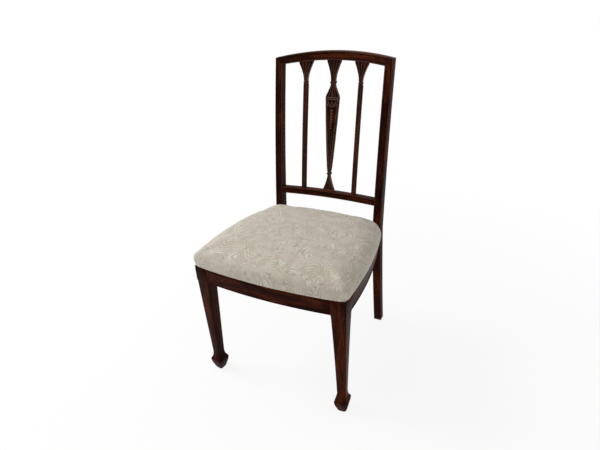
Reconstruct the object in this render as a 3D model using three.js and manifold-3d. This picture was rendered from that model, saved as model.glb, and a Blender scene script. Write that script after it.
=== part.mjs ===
// Dining chair with a square, arched back of three upright splats, tapered front legs on
// spade feet, raked back posts and an upholstered seat pad that is screwed on from below.
// Millimetres, +Z up, the sitter faces -Y. Left and right are as seen from the front, so right is +X.
import * as THREE from 'three';
import { mergeVertices } from 'three/addons/utils/BufferGeometryUtils.js';
import Module from 'manifold-3d';

const wasm = await Module();
wasm.setup();

// Driving dimensions
const overallHeight = 910;      // floor to the top of the crest's arch
const frontWidth = 466;         // across the tops of the front legs
const postFrontY = 398;         // front leg's corner to the front of the back posts at the seat
const seatFrameTop = 386;       // floor to the top edge of the seat rails
const seatRailHeight = 46;
const seatRailThick = 22;
const frontBow = 17;            // how far the front rail bows forward
const sideBow = 16;             // how far each side rail bows outward
const clearance = 0.3;          // gap left at every joint and seat
const overrun = 5;              // how far cutting tools pass the surface that they cut
const weld = clearance / 1000;  // points closer than this are one point

const frontLeg = {
  block: 42,                    // square at the rails
  taperTop: 39,                 // square just below the rails
  coveHeight: 9,                // cove between the block and the taper
  ankle: 25,
  ankleHeight: 66,
  spade: 40,
  spadeHeight: 40,
  spadeShoulder: 5,             // height of the spade's upright band
  foot: 24,
  spadeShares: [0.45, 0.82],    // shares of the spade's swell, a third and two thirds of the way up
  ankleShares: [0.38, 0.12],    // shares of it left, on the way up to the ankle
  coveShares: [0.12, 0.4],      // shares of the cove's spread
  arris: 1.2,
  turn: THREE.MathUtils.degToRad(7),
};

const post = {
  outerAtSeat: 188.5,           // chair's centre to the post's outer face, at the seat
  outerAtTop: 191.3,
  width: 26,
  depthTop: 22.5,
  depthSeat: 30,
  depthFoot: 25,
  footKick: 46,                 // how far the foot stands behind the seat joint
  footBend: 3.2,
  rake: 76,                     // how far the top leans behind the seat joint
  rakeBend: 4.9,
  cornerDrop: 18,               // crest's arch: its middle above its outer corners
  bead: 4.6,
  fieldDrop: 1.5,               // how far the face between the beads is sunk
  arris: 1,
  plainFrom: 26,                // moulding fades out over this height above the seat rails
};
const beadShares = [1, 0.72, 0.5, 0.25];        // points of a bead, as shares of a half turn
const quirkShare = 0.9;                         // share of a bead's radius that its quirk is cut in

const crest = { height: 20, arch: 12, bow: 20, tenonWidth: 10, tenonDepth: 8, tenonRise: 6.5 };
const stay = {
  rise: 77,                     // seat rails' top to the stay rail's underside
  height: 21, depth: 20, bow: 12, bead: 4.4, fieldDrop: 1.3, arris: 0.8,
  tenonHeight: 12, tenonDepth: 8, tenonLength: 12,
};

const splatInset = 3;           // splats stand this far behind the faces of the rails
const splatTenon = { width: 8, depth: 5, height: 7 };
const sideSplat = {
  headSpacing: 91.2,            // chair's middle to the splat's middle, at the crest
  footSpacing: 88.2,
  width: 14.8, thick: 11, fanWidth: 45.6, fanHeight: 58, neck: 11, collar: 15.6, collarHeight: 5,
  reeds: 2, reed: 1.3, flutes: 4, flute: 1.6, arris: 0.7,
};
const vase = {
  thick: 12, fanWidth: 46, fanHeight: 60, neck: 13.5, collar: 17, collarHeight: 5.5,
  waist: 13.5, shoulderHeight: 43.5, shoulderWidth: 44, bandHeight: 9,
  bodyFoot: 13, ring: 14, ringHeight: 6.5, baseNeck: 8, baseWidth: 38, baseHeight: 54,
  border: 4.2, panelDrop: 2, flutes: 4, flute: 1.6, arris: 0.8,
  flutedShare: 0.7,             // share of the body's panel that is fluted
};
const husk = {
  width: 8.5, tall: 9.8, rise: 2.6, pitch: 9.6, count: 5,
  lead: 13.6,                   // body's top to the middle of the first husk
};
const splatCurve = { flare: 2.1, body: 1.1, shoulder: 0.8 };    // how each outline bends
const collarShape = [[0, 0], [0.2, 1], [0.5, 1.2], [0.8, 1], [1, 0]];   // shares up and outward

const frontTenon = { thick: 11, height: 30, length: 20, inset: 6 };
const sideTenon = { thick: 10, height: 30, frontLength: 15, backLength: 12, frontInset: 6, backInset: 8 };
const backRail = { thick: 22, height: 52, tenonThick: 9, tenonHeight: 30, tenonLength: 16, tenonInset: 13 };
const cornerBlock = { height: 30, reach: 62, backReach: 52.7, drop: 1.2 };
const blockScrew = {
  radius: 2.1, length: 44, head: 4.2, headHeight: 2.4, pitch: 17, setBack: 20,
  biteShare: 0.7,               // share of the rail's thickness that the screw bites into
};
const seatScrew = { radius: 2.1, length: 41, head: 4.2, headHeight: 2.4 };

const pad = {
  overhang: 5.5,                // widest bulge past the rails
  bulgeHeight: 20,              // height of that bulge above the rails
  crown: 67,                    // middle of the pad above the rails
  cornerRadius: 34,             // rounded corners at the back
  frontRadius: 12,
  rearGap: 2,                   // pad's back edge in front of the posts
  cover: 3,                     // stuffing and cover beside the seat frame
  cornerSink: 9,                // how far the crown falls away at the corners
  fullness: 4.2,                // how soon the crown is reached from the edge
  shoulder: 2.5,                // how round the edge is
};
const padSides = [[0.1, 0], [-0.55, 0.3], [-0.92, 0.62]];       // shares of the overhang and bulge
const padTops = [-1, -0.85, -0.5, 0.2, 1.4, 3.4, 6.5, 11, 18, 26, 33];     // shares of the overhang
const outlineSteps = { pad: 60, pocket: 40, inner: 32 };
const halvings = 30;            // times that an outline's doubt is halved
const seatFrame = { thick: 18, width: 46, rebate: 2, tenonShift: 34.5 };
const webbing = { width: 50, thick: 1.4, count: 3, gap: 0.4 };
const hessianThick = 1.2;
const screwSides = 12;

const mahogany = { color: 0x3a170d, roughness: 0.38, metalness: 0 };
const beech = { color: 0xb08a5c, roughness: 0.7, metalness: 0 };
const steel = { color: 0x8d8a84, roughness: 0.4, metalness: 1 };
const damask = { color: 0xc8beb0, roughness: 0.9, metalness: 0 };
const jute = { color: 0xa58a62, roughness: 0.95, metalness: 0 };

const chair = new THREE.Group();

// Solids and booleans
function flipIfInsideOut(geometry) {
  const at = geometry.attributes.position;
  const index = geometry.index.array;
  const corner = [new THREE.Vector3(), new THREE.Vector3(), new THREE.Vector3()];
  let volume = 0;
  for (let i = 0; i < index.length; i += 3) {
    corner.forEach((v, k) => v.fromBufferAttribute(at, index[i + k]));
    volume += corner[0].dot(corner[1].cross(corner[2]));
  }
  if (volume < 0) {
    for (let i = 0; i < index.length; i += 3) {
      [index[i + 1], index[i + 2]] = [index[i + 2], index[i + 1]];
    }
  }
  return geometry;
}

function toSolid(geometry) {
  const bare = geometry.clone();
  bare.deleteAttribute('normal');
  bare.deleteAttribute('uv');
  const merged = mergeVertices(bare, weld);
  return new wasm.Manifold(new wasm.Mesh({
    numProp: 3,
    vertProperties: new Float32Array(merged.attributes.position.array),
    triVerts: new Uint32Array(merged.index.array),
  }));
}

function toGeometry(solid) {
  const mesh = solid.getMesh();
  const geometry = new THREE.BufferGeometry();
  geometry.setAttribute('position', new THREE.BufferAttribute(new Float32Array(mesh.vertProperties), 3));
  geometry.setIndex(new THREE.BufferAttribute(new Uint32Array(mesh.triVerts), 1));
  return geometry;
}

// A skin through rings of equal point counts, closed by a cap at each end.
function loft(rings, firstOutline, lastOutline = firstOutline) {
  const count = rings[0].length;
  const positions = rings.flat().flatMap((v) => [v.x, v.y, v.z]);
  const index = [];
  for (let r = 0; r + 1 < rings.length; r += 1) {
    for (let i = 0; i < count; i += 1) {
      const a = r * count + i;
      const b = r * count + (i + 1) % count;
      index.push(a, b, b + count, a, b + count, a + count);
    }
  }
  const lastRing = (rings.length - 1) * count;
  THREE.ShapeUtils.triangulateShape(firstOutline, []).forEach(([a, b, c]) => index.push(c, b, a));
  THREE.ShapeUtils.triangulateShape(lastOutline, []).forEach(([a, b, c]) => {
    index.push(lastRing + a, lastRing + b, lastRing + c);
  });
  const geometry = new THREE.BufferGeometry();
  geometry.setAttribute('position', new THREE.Float32BufferAttribute(positions, 3));
  geometry.setIndex(index);
  return flipIfInsideOut(geometry);
}

function box(low, high) {
  const size = high.clone().sub(low);
  const middle = low.clone().add(high).multiplyScalar(1 / 2);
  return toSolid(new THREE.BoxGeometry(size.x, size.y, size.z).translate(middle.x, middle.y, middle.z));
}

function boxAt(x0, x1, y0, y1, z0, z1) {
  return box(
    new THREE.Vector3(Math.min(x0, x1), Math.min(y0, y1), z0),
    new THREE.Vector3(Math.max(x0, x1), Math.max(y0, y1), z1),
  );
}

// An outline in plan, given height.
function prism(outline, z0, z1) {
  const shape = new THREE.Shape(outline);
  const geometry = new THREE.ExtrudeGeometry(shape, { depth: z1 - z0, bevelEnabled: false });
  return toSolid(geometry.translate(0, 0, z0));
}

function addPiece(name, geometry, finish) {
  const mesh = new THREE.Mesh(geometry, new THREE.MeshStandardMaterial(finish));
  mesh.name = name;
  chair.add(mesh);
}

function mirrored(geometry, side) {
  return side > 0 ? geometry : flipIfInsideOut(geometry.clone().scale(-1, 1, 1));
}

const railUnderside = seatFrameTop - seatRailHeight;
const halfFront = frontWidth / 2;

// Plan of the seat frame, drawn in by a margin: bowed front, bowed sides, straight back.
function frontY(x, margin = 0) {
  return margin - frontBow * (1 - (x / halfFront) ** 2);
}

function sideX(y, margin = 0) {
  const along = y / postFrontY;
  return halfFront + (post.outerAtSeat - halfFront) * along + 4 * sideBow * along * (1 - along) - margin;
}

function frameOutline(margin, backY, frontSteps = 14, sideSteps = 12) {
  const corner = sideX(margin, margin);
  const outline = [];
  for (let i = 0; i <= frontSteps; i += 1) {
    const x = corner * (2 * i / frontSteps - 1);
    outline.push(new THREE.Vector2(x, frontY(x, margin)));
  }
  const startY = frontY(corner, margin);
  for (let i = 1; i <= sideSteps; i += 1) {
    const y = startY + (backY - startY) * i / sideSteps;
    outline.push(new THREE.Vector2(sideX(y, margin), y));
  }
  for (let i = sideSteps; i >= 1; i -= 1) {
    const y = startY + (backY - startY) * i / sideSteps;
    outline.push(new THREE.Vector2(-sideX(y, margin), y));
  }
  return outline;
}

// Front legs
const legCentreX = halfFront - frontLeg.block / 2;
const legCentreY = frontLeg.block / 2 - frontBow * (1 - (legCentreX / halfFront) ** 2) / 2;

// Corners of the leg's block, from the outer front one round to the inner front one.
const blockCorners = [
  new THREE.Vector2(halfFront, frontY(halfFront)),
  new THREE.Vector2(sideX(legCentreY + frontLeg.block / 2), legCentreY + frontLeg.block / 2),
  new THREE.Vector2(legCentreX - frontLeg.block / 2, legCentreY + frontLeg.block / 2),
  new THREE.Vector2(legCentreX - frontLeg.block / 2, frontY(legCentreX - frontLeg.block / 2)),
];
const legCentre = new THREE.Vector2(legCentreX, legCentreY);

// A leg section: a turned square low down, which takes the block's own shape at the top.
function legRing(size, z) {
  const up = THREE.MathUtils.clamp((z - frontLeg.ankleHeight) / (railUnderside - frontLeg.ankleHeight), 0, 1);
  const corners = blockCorners.map((corner, k) => {
    const square = new THREE.Vector2(size / Math.SQRT2, 0)
      .rotateAround(new THREE.Vector2(), frontLeg.turn + (k * 2 - 1) * Math.PI / 4);
    const asBlock = corner.clone().sub(legCentre).multiplyScalar(size / frontLeg.block);
    return legCentre.clone().add(square.lerp(asBlock, up ** 2));
  });
  return corners.flatMap((corner, k) => {
    const before = corners[(k + 3) % 4].clone().sub(corner).normalize().multiplyScalar(frontLeg.arris);
    const after = corners[(k + 1) % 4].clone().sub(corner).normalize().multiplyScalar(frontLeg.arris);
    return [corner.clone().add(before), corner.clone().add(after)];
  }).map((p) => new THREE.Vector3(p.x, p.y, z));
}

function legBlockSolid(grow, z0, z1) {
  const inner = legCentreX - frontLeg.block / 2 - grow;
  const back = legCentreY + frontLeg.block / 2 + grow;
  return boxAt(inner, halfFront + overrun, -frontBow - overrun, back, z0, z1);
}

function frontTenonSolid(grow) {
  const y0 = frontY(legCentreX) + frontTenon.inset;
  const inner = legCentreX - frontLeg.block / 2;
  const middle = railUnderside + seatRailHeight / 2;
  return boxAt(
    inner - overrun, inner + frontTenon.length + grow, y0 - grow, y0 + frontTenon.thick + grow,
    middle - frontTenon.height / 2 - grow, middle + frontTenon.height / 2 + grow,
  );
}

function sideTenonSolid(grow, atBack) {
  const middle = railUnderside + seatRailHeight / 2;
  const start = atBack ? postFrontY : legCentreY + frontLeg.block / 2;
  const outer = atBack ? sideX(postFrontY) - sideTenon.backInset : sideX(start) - sideTenon.frontInset;
  const end = atBack ? start + sideTenon.backLength + grow : start - sideTenon.frontLength - grow;
  const root = atBack ? start - overrun : start + overrun;
  return boxAt(
    outer - sideTenon.thick - grow, outer + grow, root, end,
    middle - sideTenon.height / 2 - grow, middle + sideTenon.height / 2 + grow,
  );
}

function frontLegGeometry() {
  const { spade, foot, ankle, ankleHeight, spadeHeight, spadeShoulder, coveHeight, taperTop } = frontLeg;
  const taperStart = railUnderside - coveHeight;
  const { spadeShares, ankleShares, coveShares, block } = frontLeg;
  const partWay = (z0, z1, shares, a, b) => shares.map((share, i) => [
    z0 + (z1 - z0) * (i + 1) / (shares.length + 1), a + (b - a) * share,
  ]);
  const levels = [
    [0, foot],
    ...partWay(0, spadeHeight, spadeShares, foot, spade),
    [spadeHeight - spadeShoulder, spade],
    [spadeHeight, spade],
    ...partWay(spadeHeight, ankleHeight, ankleShares, ankle, spade),
    [ankleHeight, ankle],
    [taperStart, taperTop],
    ...partWay(taperStart, railUnderside, coveShares, taperTop, block),
    [railUnderside, block],
    [railUnderside + overrun, block],
  ];
  const rings = levels.map(([z, size]) => legRing(size, z));
  const cap = rings[0].map((v) => new THREE.Vector2(v.x, v.y));
  const head = legBlockSolid(0, railUnderside, seatFrameTop)
    .intersect(prism(frameOutline(0, postFrontY), railUnderside, seatFrameTop));
  const shaft = toSolid(loft(rings, cap));
  const below = boxAt(0, frontWidth, -frontWidth, postFrontY, 0, railUnderside);
  return toGeometry(
    head.add(shaft.intersect(below.add(head)))
      .subtract(frontTenonSolid(clearance))
      .subtract(sideTenonSolid(clearance, false)),
  );
}

// Back posts: rear leg and back upright in one curved piece
function postFaceY(z) {
  if (z < seatFrameTop) {
    const down = (seatFrameTop - z) / seatFrameTop;
    return postFrontY + post.footKick * down - 4 * post.footBend * down * (1 - down);
  }
  const up = (z - seatFrameTop) / (crestCornerTop - seatFrameTop);
  return postFrontY + post.rake * up - 4 * post.rakeBend * up * (1 - up);
}

const crestCornerTop = overallHeight - post.cornerDrop;
const crestCornerLow = crestCornerTop - crest.height;

function postDepth(z) {
  const end = z < seatFrameTop ? 0 : crestCornerTop;
  const endDepth = z < seatFrameTop ? post.depthFoot : post.depthTop;
  const away = Math.min(1, Math.abs(z - seatFrameTop) / Math.abs(end - seatFrameTop));
  return endDepth + (post.depthSeat - endDepth) * (1 - away) ** 2;
}

function postOuterX(z) {
  const slope = (post.outerAtTop - post.outerAtSeat) / (crestCornerTop - seatFrameTop);
  return post.outerAtSeat + slope * (z - seatFrameTop);
}

// A moulded section: a bead at each edge of the face and a sunk field between.
// Each point is a share across the face and a depth behind it.
function mouldedSection(width, depth, bead, drop, arris) {
  const radius = bead / 2;
  const beadPoints = beadShares.map((share) => {
    const a = Math.PI * share;
    return [radius + radius * Math.cos(a), radius - radius * Math.sin(a)];
  });
  const left = [...beadPoints, [bead, Math.max(drop, radius * quirkShare)], [bead + drop, drop]];
  const right = left.map(([a, b]) => [width - a, b]).reverse();
  const back = [[width, depth - arris], [width - arris, depth], [arris, depth], [0, depth - arris]];
  return [...left, ...right, ...back].map(([a, b]) => [a / width, b]);
}

function postGeometry() {
  const mouldedFrom = seatFrameTop + post.plainFrom;
  const lowerShares = [0, 1 / 4, 1 / 2, 3 / 4];
  const lowerLevels = lowerShares.map((share) => seatFrameTop * share);
  const levels = [...lowerLevels, railUnderside, seatFrameTop, mouldedFrom];
  const upperSteps = 8;
  for (let i = 1; i <= upperSteps; i += 1) {
    levels.push(mouldedFrom + (crestCornerLow - post.bead - mouldedFrom) * i / upperSteps);
  }
  levels.push(null);
  const rings = levels.map((level) => {
    const nominal = level === null ? crestCornerLow : level;
    const fade = THREE.MathUtils.clamp((nominal - seatFrameTop) / post.plainFrom, 0, 1);
    const section = mouldedSection(post.width, postDepth(nominal), post.bead, post.fieldDrop, post.arris);
    return section.map(([across, depth]) => {
      const z = level === null ? crestCornerLow + crest.height * across - clearance : level;
      const isFront = depth < post.depthTop / 2;
      return new THREE.Vector3(
        postOuterX(z) - post.width * (1 - across),
        postFaceY(z) + (isFront ? depth * fade : depth),
        z,
      );
    });
  });
  const cap = mouldedSection(post.width, post.depthTop, post.bead, post.fieldDrop, post.arris)
    .map(([a, b]) => new THREE.Vector2(a * post.width, b));
  return toGeometry(
    toSolid(loft(rings, cap))
      .add(crestTenonSolid(0))
      .subtract(sideTenonSolid(clearance, true))
      .subtract(backTenonSolid(clearance))
      .subtract(stayTenonSolid(clearance)),
  );
}

function crestTenonSolid(grow) {
  const x = postOuterX(crestCornerLow) - post.width / 2;
  const z = crestCornerLow + crest.height / 2;
  const y = postFaceY(z) + post.depthTop / 2;
  return boxAt(
    x - crest.tenonWidth / 2 - grow, x + crest.tenonWidth / 2 + grow,
    y - crest.tenonDepth / 2 - grow, y + crest.tenonDepth / 2 + grow,
    crestCornerLow - crest.height, z + crest.tenonRise + grow,
  );
}

function backTenonSolid(grow) {
  const inner = post.outerAtSeat - post.width;
  const middle = seatFrameTop - backRail.height / 2;
  const y0 = postFrontY + backRail.tenonInset;
  return boxAt(
    inner - overrun, inner + backRail.tenonLength + grow, y0 - grow, y0 + backRail.tenonThick + grow,
    middle - backRail.tenonHeight / 2 - grow, middle + backRail.tenonHeight / 2 + grow,
  );
}

const stayUnderside = seatFrameTop + stay.rise;

function stayTenonSolid(grow) {
  const z = stayUnderside + stay.height / 2;
  const inner = postOuterX(z) - post.width;
  const y = postFaceY(z) + stay.depth / 2;
  return boxAt(
    inner - overrun, inner + stay.tenonLength + grow, y - stay.tenonDepth / 2 - grow,
    y + stay.tenonDepth / 2 + grow, z - stay.tenonHeight / 2 - grow, z + stay.tenonHeight / 2 + grow,
  );
}

// Crest rail: arched above, bowed in plan, mitred to the posts
function crestEdge(x, share) {
  const low = crestCornerLow + crest.arch * (1 - (x / crestEnd(0)) ** 2);
  const high = crestCornerTop + post.cornerDrop * (1 - (x / crestEnd(1)) ** 2);
  return low + (high - low) * share;
}

function crestEnd(share) {
  return postOuterX(crestCornerLow) - post.width * (1 - share);
}

function crestFaceY(x, z, share) {
  return postFaceY(z) + crest.bow * (1 - (x / crestEnd(share)) ** 2);
}

function crestGeometry() {
  const steps = 18;
  const rings = [];
  for (let i = 0; i <= steps; i += 1) {
    const along = 2 * i / steps - 1;
    rings.push(mouldedSection(post.width, post.depthTop, post.bead, post.fieldDrop, post.arris)
      .map(([share, depth]) => {
        const x = crestEnd(share) * along;
        const z = crestEdge(x, share);
        return new THREE.Vector3(x, crestFaceY(x, z, share) + depth, z);
      }));
  }
  const cap = mouldedSection(post.width, post.depthTop, post.bead, post.fieldDrop, post.arris)
    .map(([a, b]) => new THREE.Vector2(a * post.width, b));
  let solid = toSolid(loft(rings, cap));
  [1, -1].forEach((side) => {
    solid = solid.subtract(toSolid(mirrored(toGeometry(crestTenonSolid(clearance)), side)));
  });
  [-sideSplat.headSpacing, 0, sideSplat.headSpacing].forEach((x) => {
    solid = solid.subtract(splatTenonSolid(x, true, clearance));
  });
  return toGeometry(solid);
}

// Stay rail: the low cross rail that the splats stand on
function stayFaceY(x, z) {
  const end = postOuterX(z) - post.width;
  return postFaceY(z) + stay.bow * (1 - (x / end) ** 2);
}

function stayGeometry() {
  const steps = 12;
  const section = mouldedSection(stay.height, stay.depth, stay.bead, stay.fieldDrop, stay.arris);
  const rings = [];
  for (let i = 0; i <= steps; i += 1) {
    rings.push(section.map(([share, depth]) => {
      const z = stayUnderside + stay.height * share;
      const x = (postOuterX(z) - post.width - clearance) * (2 * i / steps - 1);
      return new THREE.Vector3(x, stayFaceY(x, z) + depth, z);
    }));
  }
  const cap = section.map(([a, b]) => new THREE.Vector2(a * stay.height, b));
  const tenon = stayTenonSolid(0);
  let solid = toSolid(loft(rings, cap)).add(tenon).add(toSolid(mirrored(toGeometry(tenon), -1)));
  [-sideSplat.footSpacing, 0, sideSplat.footSpacing].forEach((x) => {
    solid = solid.subtract(splatTenonSolid(x, false, clearance));
  });
  return toGeometry(solid);
}

// Splats
const splatFoot = stayUnderside + stay.height;

function splatHead(x) {
  return crestEdge(x, 0);
}

// Front of a splat: from the stay rail's bow below to the crest's bow above.
function splatFaceY(x, z) {
  const up = THREE.MathUtils.clamp((z - splatFoot) / (splatHead(x) - splatFoot), 0, 1);
  const lowBow = stay.bow * (1 - (x / (postOuterX(z) - post.width)) ** 2);
  const highBow = crest.bow * (1 - (x / crestEnd(0)) ** 2);
  return postFaceY(z) + splatInset + lowBow + (highBow - lowBow) * up;
}

function splatTenonSolid(x, atTop, grow) {
  const z = atTop ? splatHead(x) : splatFoot;
  const y = splatFaceY(x, z) + sideSplat.thick / 2;
  const low = atTop ? z - splatTenon.height : z - splatTenon.height - grow;
  const high = atTop ? z + splatTenon.height + grow : z + splatTenon.height;
  return boxAt(
    x - splatTenon.width / 2 - grow, x + splatTenon.width / 2 + grow,
    y - splatTenon.depth / 2 - grow, y + splatTenon.depth / 2 + grow, low, high,
  );
}

// One ring of a splat: a carved front, small arrises and a flat back.
function splatRing(x, z, width, thick, arris, frontSteps, relief) {
  const ring = [];
  for (let i = 0; i <= frontSteps; i += 1) {
    const across = 2 * i / frontSteps - 1;
    const edge = Math.abs(across) === 1 ? arris : 0;
    ring.push([across * width / 2, edge + relief(across)]);
  }
  ring.push([width / 2, thick - arris], [width / 2 - arris, thick]);
  ring.push([-width / 2 + arris, thick], [-width / 2, thick - arris]);
  return ring.map(([dx, depth]) => new THREE.Vector3(x + dx, splatFaceY(x, z) + depth, z));
}

// The crest's underside is arched and bowed, so a splat's top ring follows it.
function fitToCrest(ring) {
  return ring.map((v) => new THREE.Vector3(v.x, v.y, splatHead(v.x) - clearance));
}

// Hollow flutes meet in ridges and round reeds in quirks, with one of them at each edge.
const wave = (across, count) => Math.abs(Math.sin((across + 1) * count * Math.PI / 2));
const flutes = (count, depth) => (across) => depth * wave(across, count);
const reeds = (count, depth) => (across) => depth * (1 - wave(across, count));
const plain = () => 0;

function flareWidth(narrow, wide, up) {
  return narrow + (wide - narrow) * up ** splatCurve.flare;
}

function splatSolid(footX, headX, rings) {
  const [first, last] = [rings[0], rings.at(-1)].map((ring) => ring.map((v) => new THREE.Vector2(v.x, v.y)));
  return toSolid(loft(rings, first, last))
    .add(splatTenonSolid(headX, true, 0))
    .add(splatTenonSolid(footX, false, 0));
}

function collarRings(xAt, z0, height, neck, collar, thick, arris, frontSteps) {
  return collarShape.map(([up, out]) => {
    const z = z0 + height * up;
    const width = neck + (collar - neck) * out;
    return splatRing(xAt(z), z, width, thick, arris, frontSteps, () => (out === 0 ? arris : 0));
  });
}

function sideSplatGeometry(side) {
  const s = sideSplat;
  const frontSteps = 12;
  const head = splatHead(s.headSpacing);
  const lean = (s.headSpacing - s.footSpacing) / (head - splatFoot);
  const xAt = (z) => side * (s.footSpacing + lean * (z - splatFoot));
  const collarTop = head - s.fanHeight;
  const collarFoot = collarTop - s.collarHeight;
  const foot = splatFoot + clearance;
  const rings = [];
  const barSteps = 6;
  for (let i = 0; i <= barSteps; i += 1) {
    const z = foot + (collarFoot - foot - s.arris) * i / barSteps;
    rings.push(splatRing(xAt(z), z, s.width, s.thick, s.arris, frontSteps, reeds(s.reeds, s.reed)));
  }
  rings.push(...collarRings(xAt, collarFoot, s.collarHeight, s.neck, s.collar, s.thick, s.arris, frontSteps));
  const fanSteps = 7;
  for (let i = 1; i <= fanSteps; i += 1) {
    const up = i / fanSteps;
    const z = collarTop + (s.fanHeight - clearance) * up;
    const width = flareWidth(s.neck, s.fanWidth, up);
    const ring = splatRing(xAt(z), z, width, s.thick, s.arris, frontSteps, flutes(s.flutes, s.flute));
    rings.push(i === fanSteps ? fitToCrest(ring) : ring);
  }
  return toGeometry(splatSolid(side * s.footSpacing, side * s.headSpacing, rings));
}

// Centre splat: acanthus foot, ring, long tapered body with a husk chain, shoulder, collar and fan
function vaseGeometry() {
  const v = vase;
  const frontSteps = 16;
  const foot = splatFoot + clearance;
  const ringFoot = splatFoot + v.baseHeight;
  const bodyFoot = ringFoot + v.ringHeight;
  const collarTop = splatHead(0) - v.fanHeight;
  const collarFoot = collarTop - v.collarHeight;
  const shoulderFoot = collarFoot - v.shoulderHeight;
  const bodyTop = shoulderFoot - v.bandHeight;
  const rings = [];
  const add = (z, width, relief) => {
    rings.push(splatRing(0, z, width, v.thick, v.arris, frontSteps, relief));
  };
  const sunk = (width) => (across) => {
    const inside = width / 2 * (1 - Math.abs(across)) - v.border;
    return v.panelDrop * THREE.MathUtils.clamp(inside / v.arris, 0, 1);
  };
  const sunkFluted = (width) => (across) => sunk(width)(across) + flutes(v.flutes, v.flute / 2)(across);
  const baseSteps = 5;
  for (let i = 0; i <= baseSteps; i += 1) {
    const down = 1 - i / baseSteps;
    const width = flareWidth(v.baseNeck, v.baseWidth, down);
    add(foot + (ringFoot - foot) * (1 - down), width, flutes(v.flutes, v.flute));
  }
  const middle = () => 0;
  rings.push(...collarRings(
    middle, ringFoot + v.arris, v.ringHeight - v.arris, v.baseNeck, v.ring, v.thick, v.arris, frontSteps,
  ));
  const bodySteps = 9;
  for (let i = 1; i <= bodySteps; i += 1) {
    const up = i / bodySteps;
    const z = bodyFoot + (bodyTop - bodyFoot) * up;
    const width = v.bodyFoot + (v.shoulderWidth - v.bodyFoot) * Math.sin(up * Math.PI / 2) ** splatCurve.body;
    add(z, width, up < v.flutedShare ? sunkFluted(width) : sunk(width));
  }
  add(bodyTop + v.arris, v.shoulderWidth, plain);
  add(bodyTop + v.bandHeight / 2, v.shoulderWidth, plain);
  add(bodyTop + v.bandHeight / 2 + v.arris, v.shoulderWidth, () => v.arris);
  add(bodyTop + v.bandHeight, v.shoulderWidth, () => v.arris);
  const shoulderSteps = 5;
  for (let i = 1; i <= shoulderSteps; i += 1) {
    const down = 1 - i / shoulderSteps;
    const z = collarFoot - (collarFoot - shoulderFoot) * down - v.arris;
    add(z, flareWidth(v.waist, v.shoulderWidth, down ** splatCurve.shoulder), flutes(v.flutes, v.flute));
  }
  rings.push(...collarRings(
    middle, collarFoot, v.collarHeight, v.neck, v.collar, v.thick, v.arris, frontSteps,
  ));
  const fanSteps = 7;
  for (let i = 1; i <= fanSteps; i += 1) {
    const up = i / fanSteps;
    const z = collarTop + (v.fanHeight - clearance) * up;
    const width = flareWidth(v.neck, v.fanWidth, up);
    const ring = splatRing(0, z, width, v.thick, v.arris, frontSteps, flutes(v.flutes, v.flute));
    rings.push(i === fanSteps ? fitToCrest(ring) : ring);
  }
  return toGeometry(huskChain(splatSolid(0, 0, rings), bodyTop));
}

// A chain of husks down the sunk panel, each smaller than the one above.
function huskChain(solid, topZ) {
  const [around, upward] = [10, 6];
  let result = solid;
  for (let i = 0; i < husk.count; i += 1) {
    const scale = 1 - i / (husk.count * 2);
    const z = topZ - husk.lead - husk.pitch * i;
    const bud = new THREE.SphereGeometry(1, around, upward);
    bud.scale(husk.width / 2 * scale, husk.rise * scale, husk.tall / 2 * scale);
    bud.translate(0, splatFaceY(0, z) + vase.panelDrop + vase.flute / 4, z);
    result = result.add(toSolid(bud));
  }
  return result;
}

// Seat rails
function railRing(margin) {
  const outer = prism(frameOutline(0, postFrontY - clearance), railUnderside, seatFrameTop);
  const inner = prism(
    frameOutline(margin, postFrontY + overrun),
    railUnderside - overrun, seatFrameTop + overrun,
  );
  return outer.subtract(inner);
}

function frontRailGeometry() {
  const inner = legCentreX - frontLeg.block / 2 - clearance;
  const span = boxAt(-inner, inner, -frontWidth, legCentreY, railUnderside - overrun, seatFrameTop + overrun);
  const tenon = frontTenonSolid(0);
  const body = railRing(seatRailThick).intersect(span);
  const tenoned = body.add(tenon).add(toSolid(mirrored(toGeometry(tenon), -1)));
  return toGeometry(drilledBothSides(tenoned, screwHoles(false, ['frontRail'])));
}

function sideRailGeometry() {
  const start = legCentreY + frontLeg.block / 2 + clearance;
  const span = boxAt(
    0, frontWidth, start, postFrontY,
    railUnderside - overrun, seatFrameTop + overrun,
  );
  const body = railRing(seatRailThick).intersect(span);
  return toGeometry(
    drilled(
      body.add(sideTenonSolid(0, false)).add(sideTenonSolid(0, true)),
      [...screwHoles(false, ['sideRail']), ...screwHoles(true, ['sideRail'])],
    ),
  );
}

function backRailGeometry() {
  const inner = post.outerAtSeat - post.width - clearance;
  const low = seatFrameTop - backRail.height;
  const body = boxAt(-inner, inner, postFrontY, postFrontY + backRail.thick, low, seatFrameTop);
  const tenon = backTenonSolid(0).subtract(
    boxAt(0, inner - overrun / 2, postFrontY, postFrontY + post.depthSeat, low, seatFrameTop),
  );
  const tenoned = body.add(tenon).add(toSolid(mirrored(toGeometry(tenon), -1)));
  return toGeometry(drilledBothSides(tenoned, screwHoles(true, ['backRail'])));
}

// Corner blocks and their screws
const blockTop = seatFrameTop - cornerBlock.drop;
const blockUnderside = blockTop - cornerBlock.height;
const legInner = legCentreX - frontLeg.block / 2;
const legBack = legCentreY + frontLeg.block / 2;
const postInner = post.outerAtSeat - post.width;
const blockLip = cornerBlock.reach / 3;

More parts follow.
